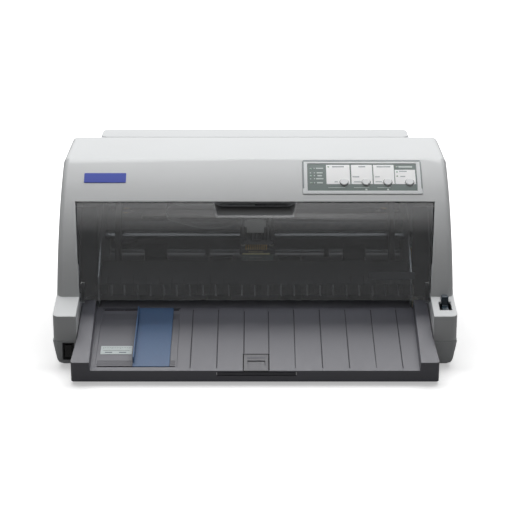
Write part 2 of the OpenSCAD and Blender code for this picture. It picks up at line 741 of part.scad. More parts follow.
module front_sheet_guide() {
    color([0.33, 0.34, 0.36]) difference() {
        union() {
            // Sheet surface and lip
            intersection() {
                on_tray() translate([-tray_half + 2, 0, -tray_t])
                    cube([2 * tray_half - 4, tray_run, tray_t]);
                block([-far, tray_y, 0], [far, tray_back, far]);
            }
            block([-tray_half + 8, tray_y, foot_h], [tray_half - 8, tray_y + 2.5, lip_z]);
            both_sides() tray_wall();
            // Ribs under the sheet surface
            for (x = [-160, -100, 70, 110, 160])
                side(x - 1, x + 1) polygon([[tray_y + 2, lip_z - tray_t - 8], [tray_y + 2, lip_z - 1.5],
                    [tray_back - 2, tray_back_z - 1.5], [tray_back - 2, tray_back_z - tray_t - 8]]);
        }
        // Grooves of the sheet surface
        for (x = [-75.2, -44.4, 47.1, 78.4, 109.6, 140.9, 171.5])
            on_tray() translate([x - 0.6, 4, -0.5]) cube([1.2, tray_run - 6, 2]);
        for (x = [tab_x0 - 0.6, tab_x0 + tab_w])
            on_tray() translate([x, 34, -0.5]) cube([1.2, tray_run - 38, 2]);
        // Channel of the edge guide, with a slot at each end
        on_tray() translate([channel_x0, channel_y0, -channel_t])
            cube([channel_w, channel_len, 4]);
        for (y = [channel_y0 + 1, channel_y0 + channel_len - 3.5])
            on_tray() translate([channel_x0 + 2, y, -tray_t - 4]) cube([channel_w - 4, 2.5, 8]);
        // Way of the pull-out extension: its tab, its bar and its plate
        on_tray() translate([tab_x0 - slide_gap, -5, -tray_t - 1])
            cube([tab_w + 2 * slide_gap, tab_len + 5 + slide_gap, 6]);
        on_tray() translate([bar_x0 - slide_gap, -8, -tray_t - 4 - slide_gap])
            cube([bar_w + 2 * slide_gap, 14, 4.2 + slide_gap]);
    }
}

module tray_wall() {
    // Side wall: hollow from below, with a drafted inner face
    difference() {
        intersection() {
            side(tray_floor_half - tray_draft, tray_half + tray_flare) polygon([
                [tray_y, foot_h], [tray_y, lip_z + tray_wall_h],
                [tray_back, tray_back_z + tray_wall_h], [tray_back, foot_h + wall + running],
                [pod_y - 1, foot_h + wall + running], [pod_y - 1, foot_h]]);
            translate([0, tray_back, 0]) rotate([90, 0, 0]) linear_extrude(tray_len)
                polygon([[tray_floor_half - tray_draft, 0], [tray_floor_half - tray_draft, lip_z - tray_t],
                    [tray_floor_half, tray_back_z + tray_wall_h],
                    [tray_half + tray_flare, tray_back_z + tray_wall_h], [tray_half + tray_flare, 0]]);
            linear_extrude(far) {
                polygon([[0, tray_y], [tray_half + tray_flare - tray_corner, tray_y],
                    [tray_half + tray_flare, tray_y + tray_corner], [tray_half, pod_y - 2],
                    [tray_half, tray_back + 1], [0, tray_back + 1]]);
                translate([tray_half + tray_flare - tray_corner, tray_y + tray_corner]) circle(r = tray_corner);
            }
        }
        side(tray_floor_half + 2.4, tray_half - 2.4) polygon([
            [tray_y + 5, foot_h - 1], [tray_y + 5, lip_z + tray_wall_h - 2.4],
            [tray_back - 2.4, tray_back_z + tray_wall_h - 3], [tray_back - 2.4, foot_h - 1]]);
    }
}

module sheet_guide_extension() {
    color([0.3, 0.31, 0.33]) on_tray() difference() {
        union() {
            translate([tab_x0, 0.2, -tray_t - 0.6]) cube([tab_w, tab_len - 0.2, tray_t + 0.5]);
            translate([bar_x0, -0.6, -tray_t - 4]) cube([bar_w, 6, 3.7]);
            translate([bar_x0 + 3, 0, -tray_t - 2.3]) cube([bar_w - 6, extension_len, extension_t]);
        }
        // Finger recess in the tab
        translate([tab_x0 + 4, 11, -1.2]) cube([tab_w - 8, 9, 3]);
    }
}

module edge_guide() {
    color([0.3, 0.42, 0.58]) on_tray() {
        translate([edge_guide_x, channel_y0 + 0.5, -channel_t + 0.15])
            cube([edge_guide_w, channel_len - 1, 1.7]);
        translate([edge_guide_x, channel_y0 + 8, -channel_t + 0.15])
            cube([1.6, channel_len - 16, fence_h + channel_t]);
        for (y = [channel_y0 + 1.3, channel_y0 + channel_len - 3.2])
            translate([edge_guide_x + 8, y, -tray_t - 1.5])
                cube([edge_guide_w - 16, 1.9, tray_t + 1.7 - channel_t]);
    }
}

edge_guide_x = channel_x0 + 43.6;

module rear_sheet_guide() {
    color("gainsboro") difference() {
        union() {
            translate([0, (hinge_y - 6 + guide_back) / 2, guide_top - guide_t])
                linear_extrude(guide_t) difference() {
                    round_rect(2 * guide_half, guide_back - hinge_y + 6, 9);
                }
            both_sides() {
                side(guide_half - 5, guide_half) polygon([[hinge_y - 4, hinge_z - 2], [hinge_y - 5, guide_top - 1],
                    [hinge_y + 20, guide_top - 1], [hinge_y + 4, hinge_z - 3]]);
                bar_x(guide_half - 1, guide_half + 1 + ear_t - 0.4, hinge_y, hinge_z, 2.5);
            }
            for (x = [-150 : 30 : 150]) block([x - 0.8, hinge_y, guide_top - guide_t - 3],
                [x + 0.8, guide_back - 6, guide_top - guide_t + eps]);
        }
    }
}

// A strip of sheet metal or moulding along a polyline in (y, z), t thick below the line.
module strip(x0, x1, pts, t) {
    n = len(pts);
    dirs = [for (i = [0 : n - 2]) (pts[i + 1] - pts[i]) / norm(pts[i + 1] - pts[i])];
    offs = [for (i = [0 : n - 1]) let (a = dirs[max(i - 1, 0)], b = dirs[min(i, n - 2)],
        m = (a + b) / norm(a + b)) pts[i] + [m[1], -m[0]] * t / (m * b)];
    side(x0, x1) polygon(concat(pts, [for (i = [n - 1 : -1 : 0]) offs[i]]));
}

module rear_chute() {
    color("darkgray") {
        strip(-frame_in, frame_in, [chute_top, chute_low,
            [chute_low[0] - 3, chute_low[1] - 9], [chute_low[0] - 7, chute_low[1] - 16], chute_end], -chute_t);
    }
}

module chassis_pan() {
    color("silver") difference() {
        block([-frame_in, -50, pan_z], [frame_in, back_y - wall - 4, pan_z + pan_t]);
        for (i = [0 : 7]) block([-165 + i * 14, 30, pan_z - 1], [-158 + i * 14, 80, pan_z + pan_t + 1]);
    }
}

module frame_plate(x0) {
    difference() {
        side(x0, x0 + frame_t) polygon([[-52, pan_z], [back_y - wall - 4, pan_z], [back_y - wall - 4, 112],
            [back_y - 9, 150], [60, 150], [20, 138], [-12, 112], [-52, 84]]);
        bar_x(x0 - 1, x0 + frame_t + 1, front_feed_y, front_feed_z, feed_shaft_r + running);
        bar_x(x0 - 1, x0 + frame_t + 1, rear_feed_y, rear_feed_z, feed_shaft_r + running);
        bar_x(x0 - 1, x0 + frame_t + 1, front_press_y, front_press_z, press_shaft_r + running);
        bar_x(x0 - 1, x0 + frame_t + 1, rear_feed_y, rear_press_z, press_shaft_r + running);
        bar_x(x0 - 1, x0 + frame_t + 1, guide_y, guide_z, guide_shaft_r);
    }
}

module left_side_frame() {
    color("dimgray") {
        frame_plate(-frame_half);
        block([-frame_in - eps, 76, cartridge_z - rail_t], [-frame_in + 20, 112, cartridge_z]);
    }
}

module right_side_frame() {
    color("dimgray") {
        frame_plate(frame_in);
        block([frame_in - 20, 76, cartridge_z - rail_t], [frame_in + eps, 112, cartridge_z]);
        // Stub of the large gear
        bar_x(frame_half - eps, gear_x + gear_t + 0.6, reduction_y, reduction_z, 3.5);
        bar_x(frame_half - eps, gear_x - 0.2, reduction_y, reduction_z, 6);
    }
}

module carriage_guide_shaft() {
    color("gainsboro") bar_x(-frame_half - 2, frame_half + 0.6, guide_y, guide_z, guide_shaft_r);
}

module carriage_rail() {
    color("gray") difference() {
        union() {
            block([-frame_in, rail_y, rail_z], [frame_in, rail_y + rail_w, rail_z + rail_t]);
            block([-frame_in, rail_y + rail_w - rail_t, rail_z - 18], [frame_in, rail_y + rail_w, rail_z + eps]);
            both_sides() block([pulley_x - 22, rail_y, rail_z], [frame_in, tab_end, rail_z + rail_t]);
            // Axle of the idler pulley
            bar_z(pulley_x, pulley_y, rail_z + rail_t - eps, belt_z + belt_w + 3, 2.5);
        }
        bar_z(-pulley_x, pulley_y, rail_z - 1, rail_z + rail_t + 1, 6);
    }
}

module platen() {
    color([0.15, 0.15, 0.16]) block([-frame_in, print_y - 6, sheet_z - 12],
        [frame_in, print_y + 6, sheet_z - 0.4]);
}

module upper_paper_guide() {
    // Dark plate between the sheet guide and the print head, with ribs on its sloping top
    color([0.16, 0.16, 0.17]) {
        strip(-frame_in, frame_in, [[guide_foot_y, sheet_z], [guide_foot_y, sheet_z + 14],
            [print_y - 34, sheet_z + 26.5], [print_y - 26, sheet_z + 30], [print_y - 23, sheet_z + 24],
            [print_y - 19, sheet_z + 4]], guide_skin);
        half_ribs = floor((frame_in - 6) / rib_pitch - 0.5);
        for (i = [-half_ribs - 1 : half_ribs]) side((i + 0.5) * rib_pitch - 0.6, (i + 0.5) * rib_pitch + 0.6)
            polygon([[guide_foot_y - 0.2, sheet_z + 2], [guide_foot_y - guide_skin, sheet_z + 4],
                [guide_foot_y - guide_skin, sheet_z + 14], [guide_foot_y, sheet_z + 15.6],
                [guide_foot_y + 15, sheet_z + 20], [guide_foot_y + 15, sheet_z + 19]]);
    }
}

module lower_paper_guide() {
    front_line = lip_z + (tray_back + 1 - tray_y) * tan(tray_slope) - 0.6;
    color([0.2, 0.2, 0.21]) difference() {
        union() {
            strip(-frame_in, frame_in, [[tray_back + 1, front_line],
                [print_y - 7, sheet_z - 0.9]], 1.6);
            strip(-frame_in, frame_in, [[print_y + 7, sheet_z - 0.9],
                [back_y - 2, sheet_z - 0.9]], 1.6);
            for (x = [-frame_in, -1.5, frame_in - 3])
                block([x, print_y - 7.1, sheet_z - 15], [x + 3, print_y + 7.1, sheet_z - 12.3]);
            for (x = [-frame_in, -1.5, frame_in - 3], y = [print_y - 9, print_y + 6.4])
                block([x, y, sheet_z - 15], [x + 3, y + 2.6, sheet_z - 2]);
        }
        for (x = rollers_at) {
            block([x - roller_w / 2 - 1, front_feed_y - 11, 30], [x + roller_w / 2 + 1, front_feed_y + 11, 80]);
            block([x - roller_w / 2 - 1, rear_feed_y - 11, 30], [x + roller_w / 2 + 1, rear_feed_y + 11, 80]);
        }
    }
}

module feed_shaft(y, z) {
    color("silver") bar_x(-frame_half - 3, gear_x + gear_t + 1.5, y, z, feed_shaft_r);
}

module front_feed_shaft() { feed_shaft(front_feed_y, front_feed_z); }
module rear_feed_shaft() { feed_shaft(rear_feed_y, rear_feed_z); }

module rollers(places, y, z, r, bore) {
    color([0.12, 0.12, 0.13]) for (x = places) difference() {
        bar_x(x - roller_w / 2, x + roller_w / 2, y, z, r);
        bar_x(x - roller_w, x + roller_w, y, z, bore);
    }
}

module front_feed_rollers() { rollers(rollers_at, front_feed_y, front_feed_z, feed_roller_r, feed_shaft_r); }
module rear_feed_rollers() { rollers(rollers_at, rear_feed_y, rear_feed_z, feed_roller_r, feed_shaft_r); }

module front_roller_gear() {
    color("ivory") gear(roller_teeth, train_a + 180 / roller_teeth, front_feed_y, front_feed_z,
        feed_shaft_r, gear_x, gear_t);
}

module rear_roller_gear() {
    color("ivory") gear(roller_teeth, train_a + 180 + 180 / roller_teeth, rear_feed_y, rear_feed_z,
        feed_shaft_r, gear_x, gear_t);
}

module pressure_rollers(y, z, r) {
    color([0.14, 0.14, 0.15]) {
        bar_x(-frame_half - 1, frame_half + 0.5, y, z, press_shaft_r);
        for (x = press_at) bar_x(x - roller_w / 2, x + roller_w / 2, y, z, r);
        for (x = [-62, 93]) bar_x(x - 3, x + 3, y, z, r - 1);
    }
}

module front_pressure_rollers() { pressure_rollers(front_press_y, front_press_z, front_press_r); }
module rear_pressure_rollers() { pressure_rollers(rear_feed_y, rear_press_z, rear_press_r); }

module reduction_gear() {
    color("ivory") gear(reduction_teeth, train_a, reduction_y, reduction_z, 3.5 + running, gear_x, gear_t);
}

module gear_bracket() {
    // Outer plate of the gear train: it carries the feed motor on three posts
    color("silver") {
        difference() {
            side(bracket_x, bracket_x + bracket_t) polygon([
                [pinion_y - 24, pinion_z + 22], [pinion_y + 24, pinion_z + 22],
                [pinion_y + 30, pinion_z - 20], [pinion_y - 30, pinion_z - 20]]);
            bar_x(bracket_x - 1, bracket_x + bracket_t + 1, pinion_y, pinion_z, 8);
        }
        for (p = [[-18, 18], [16, 19]])
            bar_x(frame_half, bracket_x + eps, pinion_y + p[0], pinion_z + p[1], 3);
    }
}

module feed_motor() {
    x0 = bracket_x + bracket_t;
    color("gray") difference() {
        union() {
            bar_x(x0, x0 + feed_motor_len, pinion_y, pinion_z, feed_motor_r);
            bar_x(bracket_x + 0.4, x0 + eps, pinion_y, pinion_z, 8);
        }
        bar_x(bracket_x, x0 + feed_motor_len - 3, pinion_y, pinion_z, 2.5 + running);
    }
}

module feed_pinion() {
    color("goldenrod") {
        gear(pinion_teeth, pinion_a + 180 + 180 / pinion_teeth, pinion_y, pinion_z, 0.5, gear_x, gear_t);
        bar_x(gear_x + eps, bracket_x + bracket_t + feed_motor_len - 4, pinion_y, pinion_z, 2.5);
    }
}

module carriage() {
    x0 = carriage_x - carriage_w / 2;
    x1 = carriage_x + carriage_w / 2;
    color([0.13, 0.13, 0.14]) difference() {
        union() {
            bar_x(x0, x1, guide_y, guide_z, guide_shaft_r + 4.5);
            // Front shelf with the seat of the print head
            block([x0, head_y0 - 6, shelf_z], [x1, guide_y - 4, shelf_z + shelf_t]);
            block([x0, head_y1 + 3, shelf_z], [x0 + 5, guide_y, head_z1]);
            block([x1 - 5, head_y1 + 3, shelf_z], [x1, guide_y, head_z1]);
            // Rear arm that rides on the rail, and the belt clamp
            block([x0 + 8, guide_y, guide_z + 7], [x1 - 8, rail_y - 1, rail_z + rail_t + 3]);
            block([x0 + 8, guide_y, rail_z + rail_t + 0.3], [x1 - 8, pulley_y - belt_out + 5, rail_z + rail_t + 3]);
            block([x0 + 8, rail_y - 3, rail_z - 6], [x1 - 8, rail_y - 0.4, rail_z + rail_t + 3]);
            block([carriage_x - 10, pulley_y - belt_out - 5, rail_z + rail_t + 0.3],
                [carriage_x + 10, pulley_y - belt_in + 4, belt_z + belt_w + 2]);
        }
        bar_x(x0 - 1, x1 + 1, guide_y, guide_z, guide_shaft_r + running);
        // Seat of the print head
        block([carriage_x - head_w / 2 - 0.2, head_y0, head_z0], [carriage_x + head_w / 2 + 0.2, head_y1, head_z1 + 8]);
        // Slot of the belt clamp
        block([carriage_x - 11, pulley_y - belt_out - 0.3, belt_z - 0.4],
            [carriage_x + 11, pulley_y - belt_in + 0.3, belt_z + belt_w + 5]);
    }
}

module print_head() {
    x0 = carriage_x - head_w / 2;
    color("dimgray") {
        block([x0, head_y0 + 0.2, head_z0], [x0 + head_w, head_y1 - 0.2, head_z1]);
        // Flange on the carriage shelf
        difference() {
            block([x0 - 5, head_y0 - 5, shelf_z + shelf_t], [x0 + head_w + 5, head_y1 + 3, shelf_z + shelf_t + 2.5]);
            for (x = [x0 - 2.5, x0 + head_w + 2.5])
                bar_z(x, head_y0 + 5, shelf_z + shelf_t - 1, shelf_z + shelf_t + 4, 1.5);
        }
        // Nose that narrows to the wires
        translate([0, print_y + 5, 0]) rotate([90, 0, 0]) linear_extrude(10) polygon([
            [x0 + 3, head_z0 + eps], [x0 + head_w - 3, head_z0 + eps], [x0 + head_w - 9, nose_z + 4],
            [x0 + head_w - 11, nose_z], [x0 + 11, nose_z], [x0 + 9, nose_z + 4]]);
    }
}

module head_heatsink() {
    x0 = carriage_x - sink_half;
    fins = 9;
    fin_t = 1.8;
    pitch = (2 * sink_half - fin_t) / (fins - 1);
    color([0.2, 0.2, 0.21]) difference() {
        block([x0, head_y0 - 9, head_z1], [x0 + 2 * sink_half, head_y1 + 3, head_z1 + sink_h]);
        for (i = [0 : fins - 2]) block([x0 + fin_t + i * pitch, head_y0 - 10, head_z1 + 6],
            [x0 + (i + 1) * pitch, head_y1 + 4, head_z1 + sink_h + 1]);
    }
}

module ribbon_mask() {
    // Thin plate under the head that keeps the ribbon off the sheet, with a window at the nose
    color([0.75, 0.8, 0.7]) difference() {
        union() {
            block([carriage_x - mask_half, head_y0 - 6, head_z0 - 4], [carriage_x - head_w / 2 - 0.5, head_y1 - 3, shelf_z]);
            block([carriage_x + head_w / 2 + 0.5, head_y0 - 6, head_z0 - 4], [carriage_x + mask_half, head_y1 - 3, shelf_z]);
            block([carriage_x - mask_half, head_y0 - 6.4, head_z0 - 8], [carriage_x + mask_half, head_y0 - 5.2, shelf_z]);
        }
    }
}

module carriage_motor() {
    color("gray") difference() {
        union() {
            bar_z(-pulley_x, pulley_y, rail_z - carriage_motor_len, rail_z, carriage_motor_r);
            bar_z(-pulley_x, pulley_y, rail_z - eps, rail_z + rail_t - 0.4, 5.6);
        }
        bar_z(-pulley_x, pulley_y, rail_z - carriage_motor_len + 3, rail_z + rail_t + 1, 2.5 + running);
    }
}

module toothed_pulley(x, bore, z0) {
    difference() {
        union() {
            bar_z(x, pulley_y, belt_z - 1.2, belt_z + belt_w + 1.2, pulley_r - 0.7);
            for (i = [0 : 19]) translate([x, pulley_y, belt_z - 1]) rotate([0, 0, i * 18])
                translate([pulley_r - 1.2, -0.45, 0]) cube([1.1, 0.9, belt_w + 2]);
            bar_z(x, pulley_y, belt_z - 1.4, belt_z - 0.3, pulley_r + 2.6);
            bar_z(x, pulley_y, belt_z + belt_w + 0.3, belt_z + belt_w + 1.4, pulley_r + 2.6);
        }
        if (bore > 0) bar_z(x, pulley_y, belt_z - 3, belt_z + belt_w + 3, bore);
    }
}

module drive_pulley() {
    color("gold") {
        toothed_pulley(-pulley_x, 0, belt_z);
        bar_z(-pulley_x, pulley_y, rail_z - carriage_motor_len + 4, belt_z + 1, 2.5);
    }
}

module idler_pulley() {
    color("gold") toothed_pulley(pulley_x, 2.5 + running, belt_z);
}

module belt_outline(r) {
    for (i = [-1, 1]) translate([i * pulley_x, pulley_y]) circle(r = r);
    translate([-pulley_x, pulley_y - r]) square([2 * pulley_x, 2 * r]);
}

module timing_belt() {
    color([0.1, 0.1, 0.1]) translate([0, 0, belt_z]) linear_extrude(belt_w) difference() {
        belt_outline(belt_out);
        belt_outline(belt_in);
    }
}

module ribbon_cartridge() {
    arm_t = 7;
    color([0.1, 0.1, 0.11]) difference() {
        union() {
            block([-cartridge_half, cartridge_y0, cartridge_z],
                [cartridge_half, cartridge_y1, cartridge_z + cartridge_t]);
            both_sides() side(cartridge_half - 10, cartridge_half - 10 + arm_t) polygon([
                [cartridge_y0 + 1, cartridge_z + cartridge_t], [cartridge_y0 + 1, cartridge_z],
                [42, 128], [28, 112], [22, sheet_z + 6], [print_y + 7, ribbon_z - 0.4],
                [print_y - 7, ribbon_z - 0.4], [print_y - 8, 84], [10, 122], [34, 148]]);
        }
        bar_z(-140, 92, cartridge_z + 6, cartridge_z + cartridge_t + 1, 4.05);
        // Slot in each arm tip for the ribbon
        both_sides() block([cartridge_half - 11, print_y - ribbon_w / 2 - 0.3, ribbon_z - 0.1],
            [cartridge_half, print_y + ribbon_w / 2 + 0.3, ribbon_z + ribbon_t + 0.1]);
    }
}

module ribbon_knob() {
    z0 = cartridge_z + cartridge_t;
    color([0.25, 0.27, 0.3]) {
        difference() {
            bar_z(-140, 92, z0 + 0.3, z0 + 9, 9);
            for (i = [0 : 11]) translate([-140, 92, z0]) rotate([0, 0, i * 30])
                translate([9.6, 0, 1.5]) cylinder(r = 1.5, h = 10, $fn = 24);
        }
        bar_z(-140, 92, cartridge_z + 7, z0 + 1, 4);
    }
}

module ribbon() {
    color([0.03, 0.03, 0.04]) block([-cartridge_half + 3, print_y - ribbon_w / 2, ribbon_z],
        [cartridge_half - 3, print_y + ribbon_w / 2, ribbon_z + ribbon_t]);
}

// The flat cable leaves the head to the left, dips, turns up in one bend and runs back above.
cable_w = 16;
cable_t = 0.6;
cable_y = 34;
cable_bend_x = -100;
cable_low_z = 132;
cable_bend_r = 11;
cable_dip = 9;

module head_cable() {
    x_end = carriage_x - 19;
    n = 16;
    low = [for (i = [0 : n]) let (t = i / n) [x_end + (cable_bend_x - x_end) * t,
        cable_low_z - cable_dip * sin(180 * t)]];
    bend = [for (a = [270 - 15 : -15 : 90 + 15]) [cable_bend_x + cable_bend_r * cos(a) * 1.1,
        cable_low_z + cable_bend_r + cable_bend_r * sin(a)]];
    high = [[cable_bend_x, cable_low_z + 2 * cable_bend_r], [0, cable_low_z + 2 * cable_bend_r]];
    pts = concat(low, bend, high);
    m = len(pts);
    offs = [for (i = [0 : m - 1]) let (a = pts[max(i - 1, 0)], b = pts[min(i + 1, m - 1)],
        d = (b - a) / norm(b - a)) pts[i] + [-d[1], d[0]] * -cable_t];
    color([0.8, 0.82, 0.82]) translate([0, cable_y, 0]) rotate([90, 0, 0]) linear_extrude(cable_w)
        polygon(concat(pts, [for (i = [m - 1 : -1 : 0]) offs[i]]));
}

module main_board() {
    color("seagreen") {
        block([-40, -10, board_z], [172, back_y - wall - 6, board_z + board_t]);
        for (x = [-30, 160], y = [0, 110]) bar_z(x, y, pan_z + pan_t, board_z + eps, 3);
        for (p = [[-10, 20, 30, 30, 3], [40, 30, 24, 24, 3], [90, 20, 40, 14, 8], [100, 60, 16, 34, 12],
                [-25, 70, 12, 30, 14], [150, 20, 10, 40, 9]])
            block([p[0], p[1], board_z + board_t - eps], [p[0] + p[2], p[1] + p[3], board_z + board_t + p[4]]);
    }
}

module power_supply() {
    supply_w = 128;
    top = board_z + board_t - eps;
    translate([6 - frame_in, 0, 0]) color("tan") {
        block([0, -10, board_z], [supply_w, back_y - wall - 10, board_z + board_t]);
        for (x = [8, supply_w - 8], y = [0, 110]) bar_z(x, y, pan_z + pan_t, board_z + eps, 3);
        // Transformer, heat sink and capacitors
        block([34, 30, top], [69, 65, board_z + 28]);
        block([8, 10, top], [12, 90, board_z + 26]);
        for (p = [[94, 30], [94, 60], [34, 95]]) bar_z(p[0], p[1], top, board_z + 26, 11);
    }
}

module interface_sockets() {
    y0 = back_y - wall - 16;
    color("silver") {
        difference() {
            block([parallel_x - parallel_w / 2, y0, socket_z], [parallel_x + parallel_w / 2, back_y - 0.5, socket_z + parallel_h]);
            block([parallel_x - parallel_w / 2 + 4, back_y - 9, socket_z + 2.5],
                [parallel_x + parallel_w / 2 - 4, back_y + 1, socket_z + parallel_h - 2.5]);
        }
        difference() {
            block([usb_x - usb_w / 2, y0, socket_z], [usb_x + usb_w / 2, back_y - 0.5, socket_z + usb_h]);
            block([usb_x - usb_w / 2 + 1.5, back_y - 9, socket_z + 1.5],
                [usb_x + usb_w / 2 - 1.5, back_y + 1, socket_z + usb_h - 1.5]);
        }
    }
}

module ac_inlet() {
    color([0.1, 0.1, 0.1]) difference() {
        block([inlet_x - inlet_w / 2, back_y - 24, inlet_z - inlet_h / 2],
            [inlet_x + inlet_w / 2, back_y - 0.4, inlet_z + inlet_h / 2]);
        block([inlet_x - inlet_w / 2 + 2.5, back_y - 17, inlet_z - inlet_h / 2 + 2.5],
            [inlet_x + inlet_w / 2 - 2.5, back_y + 1, inlet_z + inlet_h / 2 - 2.5]);
    }
}

lower_case();
upper_case();
rubber_feet();
case_screws();
panel_frame();
panel_plate();
tear_button();
feed_button();
load_button();
pause_button();
indicator_leds();
panel_board();
power_switch_housing();
power_rocker();
release_lever();
lever_pin();
front_cover();
front_sheet_guide();
sheet_guide_extension();
edge_guide();
rear_sheet_guide();
rear_chute();
chassis_pan();
left_side_frame();
right_side_frame();
carriage_guide_shaft();
carriage_rail();
platen();
upper_paper_guide();
lower_paper_guide();
front_feed_shaft();
front_feed_rollers();
front_roller_gear();
front_pressure_rollers();
rear_feed_shaft();
rear_feed_rollers();
rear_roller_gear();
rear_pressure_rollers();
reduction_gear();
gear_bracket();
feed_motor();
feed_pinion();
carriage();
print_head();
head_heatsink();
ribbon_mask();
carriage_motor();
drive_pulley();
idler_pulley();
timing_belt();
ribbon_cartridge();
ribbon_knob();
ribbon();
head_cable();
main_board();
power_supply();
interface_sockets();
ac_inlet();
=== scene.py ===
import json
import math
import bpy
import bmesh
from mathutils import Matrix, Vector
from mathutils.bvhtree import BVHTree
from mathutils.geometry import delaunay_2d_cdt


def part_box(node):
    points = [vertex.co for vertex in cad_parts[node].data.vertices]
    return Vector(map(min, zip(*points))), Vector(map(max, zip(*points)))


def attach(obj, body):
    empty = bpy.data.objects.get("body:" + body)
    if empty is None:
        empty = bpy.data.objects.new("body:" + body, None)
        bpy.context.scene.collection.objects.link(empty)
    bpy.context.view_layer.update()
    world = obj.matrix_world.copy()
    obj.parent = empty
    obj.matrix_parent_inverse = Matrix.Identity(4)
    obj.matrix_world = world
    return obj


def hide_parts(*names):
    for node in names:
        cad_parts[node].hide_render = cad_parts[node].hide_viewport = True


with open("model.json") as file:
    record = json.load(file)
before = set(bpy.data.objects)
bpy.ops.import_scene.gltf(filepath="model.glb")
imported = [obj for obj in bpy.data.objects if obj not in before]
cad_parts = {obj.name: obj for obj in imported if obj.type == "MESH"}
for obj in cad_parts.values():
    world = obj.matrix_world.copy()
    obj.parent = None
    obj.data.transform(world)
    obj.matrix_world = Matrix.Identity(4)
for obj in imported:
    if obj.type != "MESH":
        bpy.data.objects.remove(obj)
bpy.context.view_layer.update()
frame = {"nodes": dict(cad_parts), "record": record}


# Camera. The photograph was taken from 1.87 m in front of the machine and 0.74 m above the table,
# looking down by 19 degrees through a long lens, so the flat top shows only as a narrow strip.
def put(name, data):
    """Sets a new object with this data in the scene."""
    made = bpy.data.objects.new(name, data)
    bpy.context.scene.collection.objects.link(made)
    return made


camera = put("camera", bpy.data.cameras.new("camera"))
camera.data.sensor_width = 36.0
camera.data.lens = 111.65
camera.location = (0.0, -1.8691, 0.7365)
camera.rotation_euler = (math.radians(71.047), 0.0, 0.0)
bpy.context.scene.camera = camera


# Studio. A white sweep under one wide soft lamp that hangs above the machine and a little behind it,
# so that the tops are bright and the upright faces fall away to grey. The room itself is dim.
def srgb(code):
    """An sRGB hex colour as linear red, green, blue and alpha."""
    channels = [int(code[i:i + 2], 16) / 255 for i in (0, 2, 4)]
    return tuple(c / 12.92 if c <= 0.04045 else ((c + 0.055) / 1.055) ** 2.4 for c in channels) + (1.0,)


def add(tree, kind, inputs=None, out=0, to=None, **settings):
    """Adds one node and gives its output named or numbered out. A shader node's kind leaves out its first words.
    Settings are properties. Each input, by name or number, gets a link, a list of links or a value, and to is a
    socket that the output goes to."""
    made = tree.nodes.new(kind if "Node" in kind else "ShaderNode" + kind)
    for key, value in settings.items():
        setattr(made, key, value)
    for key, values in (inputs or {}).items():
        for value in values if isinstance(values, list) else [values]:
            if isinstance(value, bpy.types.NodeSocket):
                tree.links.new(value, made.inputs[key])
            else:
                made.inputs[key].default_value = value
    if to:
        tree.links.new(made.outputs[out], to)
    return made.outputs[out] if made.outputs else None


bpy.context.scene.view_settings.view_transform = "Standard"
room = bpy.data.worlds.new("studio_room")
room.use_nodes = True
room.node_tree.nodes.clear()
bpy.context.scene.world = room


def seen_directly(tree):
    """1 where the eye or glass sees this surface, less in a reflection, and 0 where it only lights something."""
    path = add(tree, "LightPath").node.outputs
    mirrored = add(tree, "Math", {0: path["Is Glossy Ray"], 1: 0.16}, operation="MULTIPLY")
    both = add(tree, "Math", {0: path["Is Camera Ray"], 1: mirrored}, operation="MAXIMUM")
    return add(tree, "Math", {0: both, 1: path["Is Transmission Ray"]}, operation="MAXIMUM")


white = (1.0, 1.0, 1.0, 1.0)
level = add(room.node_tree, "MapRange", {"Value": seen_directly(room.node_tree), "To Min": 0.12})
glow = add(room.node_tree, "Background", {"Color": white, "Strength": level})
add(room.node_tree, "OutputWorld", {"Surface": glow})


def soft_lamp(name, size, energy, place):
    """A rectangular soft lamp."""
    made = put(name, bpy.data.lights.new(name, "AREA"))
    made.data.shape = "RECTANGLE"
    made.data.size, made.data.size_y = size
    made.data.energy = energy
    made.location = place
    return made


softbox = soft_lamp("softbox", (2.6, 1.5), 46.0, (0.0, 0.8, 1.68))
softbox.rotation_euler = (math.radians(-26), 0.0, 0.0)

# A pale card above the front shows only in reflections: it gives the smoked cover its bright upper edge.
card = soft_lamp("reflected_card", (2.8, 1.5), 17.0, (0.0, -0.62, 2.0))
card.visible_diffuse = False
card.data.use_nodes = True
tree = card.data.node_tree
across = add(tree, "SeparateXYZ", {0: add(tree, "NewGeometry", out="Parametric")}, "Y")
add(tree, "MapRange", {"Value": across, "From Min": 0.1, "From Max": 0.9, "To Max": 2.0},
    to=tree.nodes["Emission"].inputs["Strength"])

paper_sweep = bpy.data.materials.new("white_paper_sweep")
paper_sweep.use_nodes = True
tree = paper_sweep.node_tree
tree.nodes.clear()
dim = add(tree, "BsdfDiffuse", {"Color": srgb("909090")})
lit = add(tree, "BsdfDiffuse", {"Color": srgb("F4F4F4")})
away = add(tree, "VectorMath", {0: add(tree, "TexCoord", out="Object")}, "Value", operation="LENGTH")
far = add(tree, "MapRange", {"Value": away, "From Min": 0.4, "From Max": 1.3, "To Min": 0.42})
own = add(tree, "Emission", {"Color": white, "Strength": far})
shown = add(tree, "AddShader", {0: lit, 1: own})
choice = add(tree, "MixShader", {0: seen_directly(tree), 1: dim, 2: shown})
add(tree, "OutputMaterial", {"Surface": choice})
floor_mesh = bpy.data.meshes.new("floor")
floor_mesh.from_pydata([(-9, -6, 0), (9, -6, 0), (9, 12, 0), (-9, 12, 0)], [], [(0, 1, 2, 3)])
floor_mesh.materials.append(paper_sweep)
put("floor", floor_mesh)


# Chassis. A pan, two side frames, the carriage rail and the gear bracket, pressed from zinc-plated
# sheet steel 1.5 to 2 mm thick and screwed together; every shaft of the machine turns in it.
body_of = {n: b for b, members in frame["record"]["behaviour"]["bodies"].items() for n in members}


